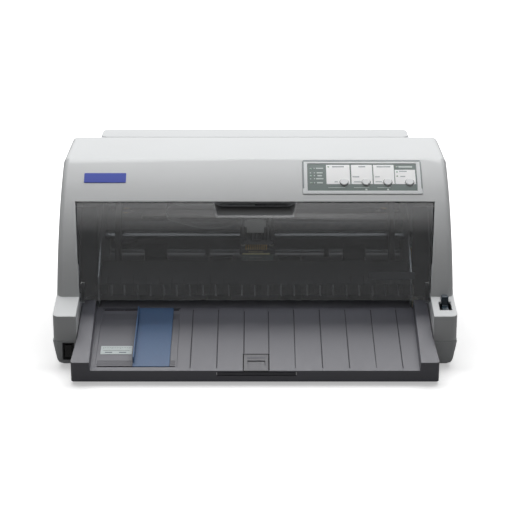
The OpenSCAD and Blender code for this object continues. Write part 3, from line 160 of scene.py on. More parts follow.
def finish(name, colour, roughness, **more):
    """Starts a material: it, its tree, its shader's inputs and the Object coordinates that its patterns read."""
    made = bpy.data.materials.new(name)
    made.use_nodes = True
    tree = made.node_tree
    tree.nodes.clear()
    extra = {key.replace("_", " "): value for key, value in more.items()}
    shader = add(tree, "BsdfPrincipled", {"Base Color": srgb(colour), "Roughness": roughness, **extra})
    add(tree, "OutputMaterial", {"Surface": shader})
    return made, tree, shader.node.inputs, add(tree, "TexCoord", out="Object")


def worked(skin, pattern, tones=None, rough=None, relief=None, span=(0.0, 1.0)):
    """Works a pattern into a finish: its colour between two tones, its roughness between two values over this
    span of the pattern, and a relief of this strength and height."""
    tree = pattern.id_data
    if tones:
        add(tree, "Mix", {"Factor": pattern, 6: srgb(tones[0]), 7: srgb(tones[1])}, 2, skin["Base Color"],
            data_type="RGBA")
    if rough:
        add(tree, "MapRange", {"Value": pattern, "From Min": span[0], "From Max": span[1],
                               "To Min": rough[0], "To Max": rough[1]}, to=skin["Roughness"])
    if relief:
        add(tree, "Bump", {"Height": pattern, "Strength": relief[0], "Distance": relief[1]}, to=skin["Normal"])


def mottled(name, colour, roughness, noise, tones=None, rough=None, relief=None, span=(0.0, 1.0), drawn=None, **more):
    """A finish with one pattern. noise is its scale per metre, detail, roughness and distortion; drawn is the
    pattern's scale along each axis where it is drawn out."""
    made, tree, skin, place = finish(name, colour, roughness, **more)
    if drawn:
        place = add(tree, "Mapping", {"Vector": place, "Scale": drawn})
    labels = dict(zip(("Scale", "Detail", "Roughness", "Distortion"), noise))
    worked(skin, add(tree, "TexNoise", {"Vector": place, **labels}), tones, rough, relief, span)
    return made


def as_drawn(piece):
    """The plain mesh that an object's curve or modifiers make."""
    bpy.context.view_layer.update()
    return bpy.data.meshes.new_from_object(piece.evaluated_get(bpy.context.evaluated_depsgraph_get()))


def settle(piece):
    """Applies a piece's modifiers, so that what is left is a plain mesh."""
    shape = as_drawn(piece)
    shape.name = piece.name
    piece.modifiers.clear()
    piece.data = shape


def mesh_of(bm, name, material):
    """Ends a bmesh: it becomes a mesh of this material alone."""
    shape = bpy.data.meshes.new(name)
    bm.to_mesh(shape)
    bm.free()
    shape.materials.clear()
    shape.materials.append(material)
    return shape


def hold(piece, body):
    """Fixes a piece to its body."""
    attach(piece, body)


def refill(shape):
    """Cuts any face that rounding has folded over itself, as one round a slot can be, into sound triangles."""
    shape.calc_loop_triangles()
    drawn = [0.0] * len(shape.polygons)
    for part in shape.loop_triangles:
        drawn[part.polygon_index] += part.area
    rounding_error = 2e-9, 2e-4
    folded = [p.index for p in shape.polygons if len(p.vertices) > 4
              and abs(drawn[p.index] - p.area) > rounding_error[0] + rounding_error[1] * p.area]
    bm = bmesh.new()
    bm.from_mesh(shape)
    bm.faces.ensure_lookup_table()
    for face in [bm.faces[i] for i in folded]:
        turn = face.normal.rotation_difference(Vector((0, 0, 1)))
        corners = [turn @ v.co for v in face.verts]
        height = sum(c.z for c in corners) / len(corners)
        ring = [c.xy for c in corners]
        points, _, triangles, source, _, _ = delaunay_2d_cdt(
            ring, [(i, (i + 1) % len(ring)) for i in range(len(ring))], [], 0, 1e-7)
        old = face.verts[:]
        verts = [old[came[0]] if came else bm.verts.new(turn.inverted() @ Vector((p.x, p.y, height)))
                 for p, came in zip(points, source)]
        for triangle in triangles:
            middle = sum((points[i] for i in triangle), Vector((0, 0))) / 3
            turns = 0
            for start, stop in zip(ring, ring[1:] + ring[:1]):
                if (start.y > middle.y) != (stop.y > middle.y):
                    if middle.x < start.x + (middle.y - start.y) * (stop.x - start.x) / (stop.y - start.y):
                        turns += 1 if stop.y > start.y else -1
            corner_set = [verts[i] for i in triangle]
            if turns > 0 and len(set(corner_set)) == 3 and bm.faces.get(corner_set) is None:
                bm.faces.new(corner_set).smooth = True
        bm.faces.remove(face)
    bm.to_mesh(shape)
    bm.free()


def room_beside(edge, most):
    """How far the two faces beside an edge reach from it before another of their edges, up to most."""
    for loop in edge.link_loops:
        start, stop = loop.vert.co, loop.link_loop_next.vert.co
        along = (stop - start).normalized()
        inward = loop.face.normal.cross(along)
        for t in (0.1, 0.5, 0.9):
            origin = start.lerp(stop, t)
            for other in loop.face.edges:
                if other is not edge:
                    p, q = other.verts[0].co - origin, other.verts[1].co - origin
                    pa, qa = p.dot(along), q.dot(along)
                    if pa * qa < 0:
                        reach = p.dot(inward) - pa * (q - p).dot(inward) / (qa - pa)
                        if reach > 1e-7:
                            most = min(most, reach)
    return most


def eased(node, material, width, sharp=32, steps=2):
    """Stands for a CAD piece as it leaves its mould or press: the same solid with its edges rounded by width,
    and by less where a face beside the edge is too narrow for that."""
    solid = frame["nodes"][node].data
    bm = bmesh.new()
    bm.from_mesh(solid)
    # The solid comes as loose triangles: points within 4 micrometres are one, and triangles in one plane one face.
    bmesh.ops.remove_doubles(bm, verts=bm.verts, dist=4e-6)
    bmesh.ops.dissolve_limit(bm, angle_limit=math.radians(0.4), verts=bm.verts, edges=bm.edges)
    weight = bm.edges.layers.float.new("bevel_weight_edge")
    for face in bm.faces:
        face.smooth = True
    for edge in bm.edges:
        if width and len(edge.link_faces) == 2 and edge.calc_face_angle() > math.radians(sharp):
            share = min(1.0, 0.4 * room_beside(edge, 3 * width) / width)
            edge[weight] = share if share * width > 2e-5 else 0.0
            edge.smooth = edge[weight] > 0
    shape = mesh_of(bm, node + "_moulded", material)
    piece = put(node + "_moulded", shape)
    if width:
        rounding = piece.modifiers.new("rounded_edges", "BEVEL")
        rounding.width, rounding.segments = width, steps
        rounding.limit_method = "WEIGHT"
        rounding.use_clamp_overlap = False
        rounding.loop_slide = True
        settle(piece)
        # Where short edges meet at a corner the rounding can overshoot: such points go back to the solid's skin.
        skin = BVHTree.FromPolygons([v.co for v in solid.vertices], [tuple(p.vertices) for p in solid.polygons])
        for v in piece.data.vertices:
            spot, _, _, gap = skin.find_nearest(v.co)
            if gap > 0.7 * width:
                v.co = spot
        refill(piece.data)
    else:
        shape.set_sharp_from_angle(angle=math.radians(sharp))
    piece.modifiers.new("flat_faces_stay_flat", "WEIGHTED_NORMAL").keep_sharp = True
    settle(piece)
    hold(piece, body_of[node])
    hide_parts(node)


def zinc_plate():
    """Zinc-plated steel sheet, cold rolled: a dull cool metal with faint rolling lines and cloudy spangle."""
    made, tree, skin, place = finish("zinc_plated_sheet", "A9ADB0", 0.4, Metallic=0.85)
    cloud = add(tree, "TexVoronoi", {"Vector": place, "Scale": 130.0, "Randomness": 1.0})
    worked(skin, cloud, ("969BA0", "B4B7B9"))
    along = add(tree, "Mapping", {"Vector": place, "Scale": (1400.0, 60.0, 1400.0)})
    rolled = add(tree, "TexNoise", {"Vector": along, "Scale": 1.0, "Detail": 3.0})
    worked(skin, rolled, rough=(0.32, 0.52), relief=(0.15, 0.0002))
    return made


zinc = zinc_plate()
for node in ("chassis_pan", "left_side_frame", "right_side_frame", "carriage_rail", "gear_bracket"):
    eased(node, zinc, 0.0003)


# Screws. Pan-head steel screws with a cross recess, bright zinc plated, hold the pan, the rail and the
# bracket; one tree sets a head at every place, turned to the way the screw goes in.
def new_tree(name, *sockets):
    """A Geometry Nodes tree that works on places, with these named inputs, and its inputs' sockets."""
    tree = bpy.data.node_groups.new(name, "GeometryNodeTree")
    for label, kind in (("Places", "Geometry"),) + sockets:
        tree.interface.new_socket(label, in_out="INPUT", socket_type="NodeSocket" + kind)
    tree.interface.new_socket("Pieces", in_out="OUTPUT", socket_type="NodeSocketGeometry")
    return tree, add(tree, "NodeGroupInput").node.outputs


def end_tree(tree, material, **setting):
    """Ends a tree: shapes are set on points, made real and given their material."""
    set_in = add(tree, "GeometryNodeInstanceOnPoints", setting)
    real = add(tree, "GeometryNodeRealizeInstances", {"Geometry": set_in})
    add(tree, "NodeGroupOutput", {0: add(tree, "GeometryNodeSetMaterial", {"Geometry": real, "Material": material})})


def grown(name, tree, points, lines, values, body, vectors=None, ease=0.0):
    """Runs a tree on these points, which may carry vectors and be joined by lines, and keeps the plain mesh."""
    shape = bpy.data.meshes.new(name)
    shape.from_pydata([tuple(p) for p in points], lines, [])
    for label, rows in (vectors or {}).items():
        carried = shape.attributes.new(label, "FLOAT_VECTOR", "POINT")
        carried.data.foreach_set("vector", [c for row in rows for c in row])
    piece = put(name, shape)
    drive = piece.modifiers.new("tree", "NODES")
    drive.node_group = tree
    for label, value in values.items():
        drive[next(i.identifier for i in tree.interface.items_tree if i.name == label)] = value
    if ease:
        rounding = piece.modifiers.new("rounded", "BEVEL")
        rounding.width, rounding.segments = ease, 2
    settle(piece)
    hold(piece, body)


screws_tree, given = new_tree("set_screw_heads", ("Head radius", "Float"), ("Axis", "Vector"), ("Steel", "Material"))
tree = screws_tree
radius = given["Head radius"]
rim = add(tree, "Math", {0: radius, 1: 0.42}, operation="MULTIPLY")
disc = add(tree, "GeometryNodeMeshCylinder", {"Vertices": 24, "Radius": radius, "Depth": rim})
ball = add(tree, "GeometryNodeMeshUVSphere", {"Segments": 24, "Rings": 10, "Radius": radius})
flat = add(tree, "GeometryNodeTransform", {"Geometry": ball, "Scale": (0.985, 0.985, 0.55)})
arm = add(tree, "CombineXYZ", {"X": radius, "Y": rim, "Z": radius})
slim = add(tree, "VectorMath", {0: arm, 1: (1.1, 0.55, 0.7)}, operation="MULTIPLY")
bar = add(tree, "GeometryNodeMeshCube", {"Size": slim})
raised = add(tree, "VectorMath", {0: add(tree, "CombineXYZ", {"Z": rim}), 1: (0.0, 0.0, 1.75)}, operation="MULTIPLY")
across = add(tree, "GeometryNodeTransform", {"Geometry": bar, "Translation": raised})
quarter = (0.0, 0.0, math.pi / 2)
along = add(tree, "GeometryNodeTransform", {"Geometry": bar, "Translation": raised, "Rotation": quarter})
head = add(tree, "GeometryNodeMeshBoolean", {"Mesh 2": [disc, flat]}, operation="UNION")
cut = add(tree, "GeometryNodeMeshBoolean", {"Mesh 1": head, "Mesh 2": [across, along]}, operation="DIFFERENCE")
turned = add(tree, "FunctionNodeAlignRotationToVector", {"Vector": given["Axis"]}, axis="Z")
spread = add(tree, "FunctionNodeRandomValue", {0: (0.0, 0.0, 0.0), 1: (0.0, 0.0, math.pi), "Seed": 4},
             data_type="FLOAT_VECTOR")
both = add(tree, "FunctionNodeRotateRotation", {0: turned, 1: add(tree, "FunctionNodeEulerToRotation", {0: spread})},
           rotation_space="LOCAL")
end_tree(tree, given["Steel"], Points=given["Places"], Instance=cut, Rotation=both)

# Zinc-plated screw steel: bright, slightly yellow, with the fine rings that turning leaves.
screw_steel = mottled("zinc_plated_screw", "C9C6BC", 0.28, (2600.0, 2.0), rough=(0.2, 0.42), Metallic=1.0)


def screw_heads(name, body, places, axis, radius):
    """Screw heads at these places on one body, all pointing along axis."""
    grown(name, screws_tree, places, [], {"Head radius": radius, "Axis": axis, "Steel": screw_steel}, body)


pan_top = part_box("chassis_pan")[1].z + 0.0004
screw_heads("pan_screws", "base", [(x, y, pan_top) for x in (-0.16, -0.06, 0.06, 0.16) for y in (-0.03, 0.115)],
            (0, 0, 1), 0.0034)
rail_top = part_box("carriage_rail")[1].z + 0.0004
screw_heads("rail_screws", "base", [(x, 0.0665, rail_top) for x in (-0.181, -0.158, 0.158, 0.181)], (0, 0, 1), 0.0028)
frame_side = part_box("left_side_frame")[0].x - 0.0003
screw_heads("left_frame_screws", "base",
            [(frame_side, y, z) for y, z in ((0.122, 0.03), (-0.045, 0.03), (0.122, 0.1), (0.068, 0.128))],
            (-1, 0, 0), 0.003)


# Boards. Two glass-epoxy boards under green solder mask stand on the pan, with chips and coils in black,
# capacitors in sleeved cans, and a third narrow one hangs under the control panel.
def circuit_board(name, board_top, part_colour):
    """Solder mask over copper, shiny green with paler straight tracks; what stands above board_top is a part's body."""
    made, tree, skin, place = finish(name, "1E5A38", 0.3, Specular_IOR_Level=0.5)
    tracks = add(tree, "TexBrick", {"Vector": place, "Color1": srgb("1B5535"), "Color2": srgb("236B43"),
                                    "Mortar": srgb("2F8355"), "Scale": 60.0, "Mortar Size": 0.03, "Brick Width": 0.9,
                                    "Row Height": 0.16}, offset=0.37, squash=1.6, squash_frequency=3).node.outputs
    height = add(tree, "SeparateXYZ", {0: place}, "Z")
    is_part = add(tree, "Math", {0: height, 1: board_top + 0.0002}, operation="GREATER_THAN")
    add(tree, "Mix", {"Factor": is_part, 6: tracks["Color"], 7: srgb(part_colour)}, 2, skin["Base Color"],
        data_type="RGBA")
    worked(skin, tracks["Fac"], relief=(0.3, 0.0001))
    return made


board_top = 0.0171
eased("main_board", circuit_board("green_solder_mask_main", board_top, "1A1B1D"), 0.0002)
eased("power_supply", circuit_board("green_solder_mask_supply", board_top, "3A3226"), 0.0002)
no_parts = 9.0
eased("panel_board", circuit_board("green_solder_mask_panel", no_parts, "202022"), 0.0)


# Rows of small bars. One tree makes all of them on the machine: chip legs, socket pins, scale marks, printed
# marks and fine guide lines. Each place carries its own size and the way its top faces.
bars_tree, given = new_tree("set_bars", ("Bar size", "Vector"), ("Way up", "Vector"), ("Finish", "Material"))
own_size, own_up = [add(bars_tree, "GeometryNodeInputNamedAttribute", {"Name": label}, data_type="FLOAT_VECTOR")
                    for label in ("bar_size", "way_up")]
scaled = add(bars_tree, "VectorMath", {0: own_size, 1: given["Bar size"]}, operation="MULTIPLY")
up = add(bars_tree, "VectorMath", {0: own_up, 1: given["Way up"]}, operation="ADD")
turned = add(bars_tree, "FunctionNodeAlignRotationToVector", {"Vector": up}, axis="Z", pivot_axis="X")
end_tree(bars_tree, given["Finish"], Points=given["Places"], Rotation=turned, Scale=scaled,
         Instance=add(bars_tree, "GeometryNodeMeshCube", {"Size": (1.0, 1.0, 1.0)}))


def bars(name, body, places, material, ease=0.0, up=(0, 0, 1)):
    """Small bars. Each place is (point, size), and (point, size, way up) where the ways differ; the bar's length
    runs along x as far as its way up allows."""
    rows = [row if len(row) == 3 else (*row, up) for row in places]
    points, sizes, ups = zip(*rows)
    grown(name, bars_tree, points, [], {"Bar size": (1.0, 1.0, 1.0), "Way up": (0.0, 0.0, 0.0), "Finish": material},
          body, {"bar_size": sizes, "way_up": ups}, ease)


# Tinned copper legs: bright, soft-looking metal with a slightly uneven solder skin.
tin = mottled("tinned_legs", "C5C8CA", 0.3, (1500.0, 2.0), rough=(0.22, 0.45), Metallic=1.0)
chips = ((-10, 20, 30, 30), (40, 30, 24, 24), (90, 20, 40, 14), (-25, 70, 12, 30), (150, 20, 10, 40))
leg_pitch = 2.54
bars("chip_legs", "base",
     [(((x + 1.6 + i * leg_pitch) / 1000, edge / 1000, board_top + 0.0008), (0.0008, 0.0018, 0.0018))
      for x, y, w, d in chips for i in range(int(w / leg_pitch)) for edge in (y - 0.6, y + d + 0.6)],
     tin)


# Sockets at the back. The parallel and serial ports are drawn steel shells round a black insert with
# tinned pins; the mains inlet is a black moulding with three flat blades.
def black_moulding(name, colour="17181A", rough=0.45):
    """Glass-filled black nylon or ABS: dark, slightly mottled, with a fine moulded grain."""
    return mottled(name, colour, rough, (700.0, 4.0, 0.6), rough=(rough - 0.07, rough + 0.1),
                   relief=(0.2, 0.0002), span=(0.3, 0.7))


black_abs = black_moulding("black_abs")
eased("interface_sockets", zinc, 0.0004)
eased("ac_inlet", black_abs, 0.0006)
inlet_low, inlet_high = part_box("ac_inlet")
inlet_x = (inlet_low.x + inlet_high.x) / 2
bars("inlet_blades", "base", [((inlet_x + dx, inlet_high.y - 0.0095, 0.030 + dz), (0.0018, 0.014, 0.0045))
                              for dx, dz in ((-0.0068, -0.0018), (0.0068, -0.0018), (0.0, 0.0026))],
     tin, 0.0003)
bars("port_insert", "base", [((0.110, 0.1335, 0.0236), (0.046, 0.004, 0.0042)),
                             ((0.050, 0.1335, 0.0226), (0.0072, 0.004, 0.0042))], black_abs, 0.0003)
pin_pitch = 0.00258
bars("port_pins", "base", [((0.0895 + (i + row / 2) * pin_pitch, 0.1365, 0.0226 + row * 0.002), (0.001, 0.0028, 0.0006))
                           for i in range(17) for row in (0, 1)], tin)


# Paper path. A black platen bar faces the head between glass-filled guide plates, the upper one dark and the
# lower one a lighter grey, which is painted light where the cover's shade falls; the chute behind leads single
# sheets down from the rear guide.
dark_guide = black_moulding("glass_filled_guide", "222326", 0.38)
for node in ("platen", "upper_paper_guide", "rear_chute"):
    eased(node, dark_guide, 0.0003)
# Painted light: this guide is drawn lighter than the upper one, to stand for light reaching it under the cover.
eased("lower_paper_guide", black_moulding("painted_lit_guide", "6C6C71", 0.42), 0.0003)


# Feed rollers. Ground rubber sleeves are pressed on polished steel shafts; the pressure rollers above them
# are thinner and idle. Grinding leaves fine rings round the rubber and rubs it matt.
def ground_rubber(name, colour, along):
    """Ground rubber: near black, matt, with fine rings across the roller's axis and some paper dust."""
    made, tree, skin, place = finish(name, colour, 0.78, Specular_IOR_Level=0.35)
    rings = add(tree, "TexWave", {"Vector": place, "Scale": 330.0, "Distortion": 1.5, "Detail": 2.0}, "Fac",
                wave_type="BANDS", bands_direction=along)
    dust = add(tree, "TexNoise", {"Vector": place, "Scale": 260.0, "Detail": 5.0, "Roughness": 0.7})
    share = add(tree, "MapRange", {"Value": dust, "From Min": 0.52, "From Max": 0.8, "To Max": 0.35})
    worked(skin, share, (colour, "5B5A57"))
    worked(skin, rings, relief=(0.25, 0.0002))
    return made


# Centreless-ground and plated steel: nearly a mirror, with faint turned rings and a light oil film.
shaft_steel = mottled("plated_shaft", "D2D4D6", 0.16, (1.0, 3.0), rough=(0.1, 0.3), drawn=(900.0, 40.0, 40.0),
                      Metallic=1.0)
roller_rubber = ground_rubber("ground_roller_rubber", "1B1B1C", "X")
for node in ("front_feed_shaft", "rear_feed_shaft", "carriage_guide_shaft", "lever_pin"):
    eased(node, shaft_steel, 0.0005, steps=1)
for node in ("front_feed_rollers", "rear_feed_rollers"):
    eased(node, roller_rubber, 0.0008)


def pressure_finish(node):
    """Rubber sleeves on a plated shaft, told apart by the distance from the shaft's own axis."""
    middle = (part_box(node)[0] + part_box(node)[1]) / 2
    made, tree, skin, place = finish(node + "_rubber_and_steel", "1E1E1F", 0.7)
    centred = add(tree, "Mapping", {"Vector": place, "Location": (0.0, -middle.y, -middle.z), "Scale": (0.0, 1.0, 1.0)})
    away = add(tree, "VectorMath", {0: centred}, "Value", operation="LENGTH")
    bare = add(tree, "Math", {0: away, 1: 0.0033}, to=skin["Metallic"], operation="LESS_THAN")
    worked(skin, bare, ("1E1E1F", "CFD1D3"), (0.72, 0.18))
    return made


for node in ("front_pressure_rollers", "rear_pressure_rollers"):
    eased(node, pressure_finish(node), 0.0006)


# Feed gears and motor. Moulded acetal gears, milky and slightly waxy, turn the two feed shafts from a brass
# pinion on a stepper motor, a drawn steel can that hangs on the bracket at the right.
# White acetal: light passes a little way in, soft even gloss and faint flow lines from the gate.
acetal = mottled("white_acetal", "E6E3D8", 0.38, (120.0, 3.0, 0.5, 1.2), ("DDD9CB", "ECEAE1"),
                 Subsurface_Weight=0.15, Subsurface_Scale=0.002)
# The drawn steel can is nickel washed: grey metal with vertical draw marks.
can_steel = mottled("motor_can", "A7A9AB", 0.35, (420.0, 4.0, 0.65), rough=(0.25, 0.5), relief=(0.12, 0.0002),
                    Metallic=0.95)
# Turned brass: warm yellow metal with fine tool rings.
brass = mottled("turned_brass", "C9A24F", 0.28, (1500.0, 2.0), rough=(0.2, 0.4), Metallic=1.0)
for node in ("front_roller_gear", "rear_roller_gear", "reduction_gear"):
    eased(node, acetal, 0.0, sharp=25)
eased("feed_pinion", brass, 0.0, sharp=25)
for node in ("feed_motor", "carriage_motor"):
    eased(node, can_steel, 0.0012)
for node in ("drive_pulley", "idler_pulley"):
    eased(node, brass, 0.0, sharp=25)
motor_low, motor_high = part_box("feed_motor")
motor_y, motor_z = (motor_low.y + motor_high.y) / 2, (motor_low.z + motor_high.z) / 2
bolt_circle = 0.021
screw_heads("motor_screws", "base",
            [(motor_low.x + 0.0036, motor_y + bolt_circle * math.cos(a), motor_z + bolt_circle * math.sin(a))
             for a in (2.5, 5.64)], (1, 0, 0), 0.0026)


# Drive belt. A neoprene belt with cloth-faced teeth runs round the two pulleys along the machine; the teeth
# follow its inner side, one every 2 mm.
def belt_neoprene():
    """Black neoprene with a ribbed back: matt rubber, a trace of grey where the cloth shows."""
    made, tree, skin, place = finish("toothed_neoprene", "161617", 0.7)
    cloth = add(tree, "TexWave", {"Vector": place, "Scale": 500.0, "Distortion": 0.6}, "Fac", bands_direction="Z")
    worked(skin, cloth, ("131314", "252526"))
    return made


def round_point(x, y, radius, degrees):
    """A point on a circle about (x, y)."""
    return x + radius * math.cos(math.radians(degrees)), y + radius * math.sin(math.radians(degrees))


neoprene = belt_neoprene()
eased("timing_belt", neoprene, 0.0)
teeth_tree, given = new_tree("set_belt_teeth", ("Tooth pitch", "Float"), ("Tooth size", "Vector"),
                             ("Rubber", "Material"))
path_line = add(teeth_tree, "GeometryNodeMeshToCurve", {"Mesh": given["Places"]})
stations = add(teeth_tree, "GeometryNodeCurveToPoints", {"Curve": path_line, "Length": given["Tooth pitch"]},
               mode="LENGTH").node.outputs
end_tree(teeth_tree, given["Rubber"], Points=stations["Points"], Rotation=stations["Rotation"],
         Instance=add(teeth_tree, "GeometryNodeMeshCube", {"Size": given["Tooth size"]}))
belt_low, belt_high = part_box("timing_belt")
belt_y, belt_z = (belt_low.y + belt_high.y) / 2, (belt_low.z + belt_high.z) / 2
outer = (belt_high.y - belt_low.y) / 2
inner = outer - 0.0014
straight = belt_high.x - outer
loop = [(*round_point(side_x, belt_y, inner, a), belt_z)
        for side_x, first in ((straight, -90), (-straight, 90)) for a in range(first, first + 181, 15)]
grown("belt_teeth", teeth_tree, loop, [(i, (i + 1) % len(loop)) for i in range(len(loop))],
      {"Tooth pitch": 0.00203, "Tooth size": (0.0007, 0.0064, 0.001), "Rubber": neoprene}, "base")


# Print carriage. A glass-filled moulding slides on the guide shaft and the rail; the head bolted on it is a
# blackened die casting with a finned sink, and a grey ribbon mask with a worn rim keeps the ribbon off the paper.
eased("carriage", black_moulding("carriage_moulding", "1C1D1F", 0.5), 0.0005)


def worn_and_lit_edges(tree, first, most):
    """How far an edge is lightened: nothing up to first on the pointiness scale, and most at its sharpest. On blackened
    metal this is wear; on grey ABS it is a painted edge highlight.
    """
    return add(tree, "MapRange", {"Value": add(tree, "NewGeometry", out="Pointiness"), "From Min": first,
                                  "From Max": 0.6, "To Max": most})


def blackened(name, colour, rough):
    """Die-cast or extruded aluminium, blackened: dark satin metal, a shade lighter where handling wears the edges."""
    made, tree, skin, place = finish(name, colour, rough, Metallic=0.6)
    cast = add(tree, "TexNoise", {"Vector": place, "Scale": 900.0, "Detail": 5.0, "Roughness": 0.7})
    worked(skin, worn_and_lit_edges(tree, 0.52, 0.5), (colour, "6F7174"))
    worked(skin, cast, relief=(0.3, 0.0002))
    return made


eased("print_head", blackened("blackened_casting", "4A4D4E", 0.45), 0.0006)
eased("head_heatsink", blackened("black_anodised_fins", "2A2B2D", 0.4), 0.0003)

# The mask is a thin pressed polyester strip, grey-green and a little translucent, with a smooth sheen.
eased("ribbon_mask", mottled("ribbon_mask_strip", "6F7672", 0.32, (200.0, 2.0), ("676F6B", "78807B"),
                             Subsurface_Weight=0.1, Subsurface_Scale=0.001), 0.0003)
bars("mask_rim", "print_carriage", [((0.003, -0.0096, 0.0906), (0.0360, 0.0004, 0.0010)),
                                    ((0.001, -0.0096, 0.0948), (0.0160, 0.0004, 0.0005))],
     black_moulding("worn_mask_rim", "B4B8B4", 0.35))
head_low, head_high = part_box("print_head")
screw_heads("head_screws", "print_carriage",
            [(x, 0.002, 0.1069) for x in (head_low.x + 0.0025, head_high.x - 0.0025)], (0, 0, 1), 0.003)


# Head connector. A white nylon shell on the front of the heat sink, where the flat cable plugs in; under it
# brass guide fins stand over the nose of the head.
white_nylon = black_moulding("white_nylon", "B9BAB4", 0.5)
shell = Vector((0.0005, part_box("head_heatsink")[0].y - 0.0021, 0.1370))
latch = (0.0024, 0.003, 0.008)
bars("head_connector", "print_carriage", [(shell, (0.0215, 0.0044, 0.0165)),
                                          (shell + Vector((0, -0.0022, 0.0065)), (0.0165, 0.0014, 0.002)),
                                          (shell + Vector((-0.0119, 0, 0.003)), latch),
                                          (shell + Vector((0.0119, 0, 0.003)), latch)], white_nylon, ease=0.0005)
bars("head_guide_fins", "print_carriage",
     [((-0.0110 + i * 0.0028, -0.0086, 0.1082), (0.0010, 0.0012, 0.0076)) for i in range(10)], brass)
bars("head_nose_film", "print_carriage", [((0.0015, -0.0092, 0.0992), (0.0340, 0.0005, 0.0016))]
     + [((-0.0070 + i * 0.0026, -0.0092, 0.1018), (0.0014, 0.0005, 0.0009)) for i in range(7)],
     black_moulding("polyimide_film", "F4E9A6", 0.45))


# Ribbon. A closed black cartridge with two arms lies behind the head and holds an endless inked nylon
# ribbon, which crosses under the head from arm tip to arm tip; a ridged knob takes up its slack.
eased("ribbon_cartridge", black_moulding("cartridge_styrene", "141516", 0.35), 0.0008)
eased("ribbon_knob", black_moulding("knob_styrene", "3A3D42", 0.42), 0.0004)


def inked_nylon():
    """Woven nylon soaked in black ink: a fine over-and-under weave with a damp, dull shine."""
    made, tree, skin, place = finish("inked_nylon_weave", "0C0C10", 0.55, Sheen_Weight=0.2)
    warp, weft = [add(tree, "TexWave", {"Vector": place, "Scale": 640.0}, "Fac", bands_direction=way) for way in "XY"]
    weave = add(tree, "Math", {0: warp, 1: weft}, operation="MULTIPLY")
    worked(skin, weave, ("08080B", "1B1B22"), relief=(0.5, 0.0002))
    return made


def flat_cable():
    """A flat printed cable: pale polyester film over side-by-side copper lines 1.25 mm apart."""
    made, tree, skin, place = finish("flat_cable_film", "C9CDCB", 0.25, Coat_Weight=0.3)
    lines = add(tree, "TexWave", {"Vector": place, "Scale": 250.0}, "Fac", bands_direction="Y")
    worked(skin, lines, ("9FA6A4", "D5D9D6"))
    return made


eased("ribbon", inked_nylon(), 0.0)
eased("head_cable", flat_cable(), 0.0, sharp=40)


# Lower case. A tray-like ABS moulding with cooling slots in its floor, on four turned rubber feet; spark
# erosion of the mould leaves its fine matt grain.
def case_abs(name, colour, shade):
    """Light grey ABS with a spark-eroded grain: matt, very even, a trace dustier in broad soft clouds.
    The real grain is about 0.1 mm and is drawn at 0.6 mm, so that it just shows."""
    made, tree, skin, place = finish(name, colour, 0.5, Specular_IOR_Level=0.45)
    cloud = add(tree, "TexNoise", {"Vector": place, "Scale": 9.0, "Detail": 4.0, "Roughness": 0.55})
    grain = add(tree, "TexNoise", {"Vector": place, "Scale": 1700.0, "Detail": 2.0})
    tone = add(tree, "Mix", {"Factor": cloud, 6: srgb(shade), 7: srgb(colour)}, 2, data_type="RGBA")
    # Painted highlight: the sharpest edges are drawn paler, towards EEEFEF.
    add(tree, "Mix", {"Factor": worn_and_lit_edges(tree, 0.51, 0.35), 6: tone, 7: srgb("EEEFEF")}, 2, skin["Base Color"],
        data_type="RGBA")
    worked(skin, grain, rough=(0.44, 0.58), relief=(0.22, 0.0003), span=(0.3, 0.7))
    return made


eased("lower_case", case_abs("lower_case_abs", "CFD2D3", "C6C9CA"), 0.0009)
eased("rubber_feet", ground_rubber("moulded_foot_rubber", "242424", "Z"), 0.0008)
eased("case_screws", screw_steel, 0.0003)


# Power switch. A black rocker in a black bezel at the foot of the left pod, a bought-in part clipped
# into its window; one end of the rocker is pressed in.
eased("power_switch_housing", black_abs, 0.0005)
eased("power_rocker", black_moulding("rocker_nylon", "0E0F10", 0.28), 0.0006)


# Upper case. One large ABS moulding: the convex front band, the flat top, the sides with their cooling
# slots and the tops of the two pods. It drops over the lower case and is held by four screws from below.
eased("upper_case", case_abs("upper_case_abs", "D9DBDC", "D3D5D6"), 0.0009)


# Side shades. Dark sheets that hang in the upper case on either side of the side frames are painted shade: under the
# cover they darken the gears and the case's pale inside, seen from above.
# Painted shade: near-black sheets where the inside of the machine lies in shade.
bars("side_shades", body_of["upper_case"],
     [((side * 0.2063, y, z), (0.0258, 0.0004, height)) for side in (-1, 1)
      for y, z, height in ((-0.020, 0.1130, 0.101), (-0.0555, 0.0885, 0.057))],
     black_moulding("painted_shade_sheet", "1B1C1E", 0.62))


# Badge. A small bare plate of satin blue aluminium is stuck in a shallow seat at the left of the front band
# and follows its curve.
arc_y, arc_z, arc_r = 0.16618, -0.02823, 0.271
crease_y, crease_z = 0.037, 0.210
crease_angle = math.atan2(crease_z - arc_z, crease_y - arc_y)


def on_front(x, down, out=0.0):
    """A point on the curved front: x, millimetres down the curve from the crease, and millimetres proud of it."""
    angle = crease_angle + down / 1000 / arc_r
    reach = arc_r + out / 1000
    return Vector((x / 1000, arc_y + reach * math.cos(angle), arc_z + reach * math.sin(angle)))


def piece_of(bm, name, material, body, ease=0.0, rounded=()):
    """Makes a thin plate's bmesh a piece on a body, with these edges rounded by ease millimetres."""
    if ease:
        bmesh.ops.bevel(bm, geom=rounded, offset=ease / 1000, segments=2, profile=0.5, affect="EDGES")
    bmesh.ops.triangulate(bm, faces=[f for f in bm.faces if len(f.verts) > 4])
    hold(put(name, mesh_of(bm, name, material)), body)


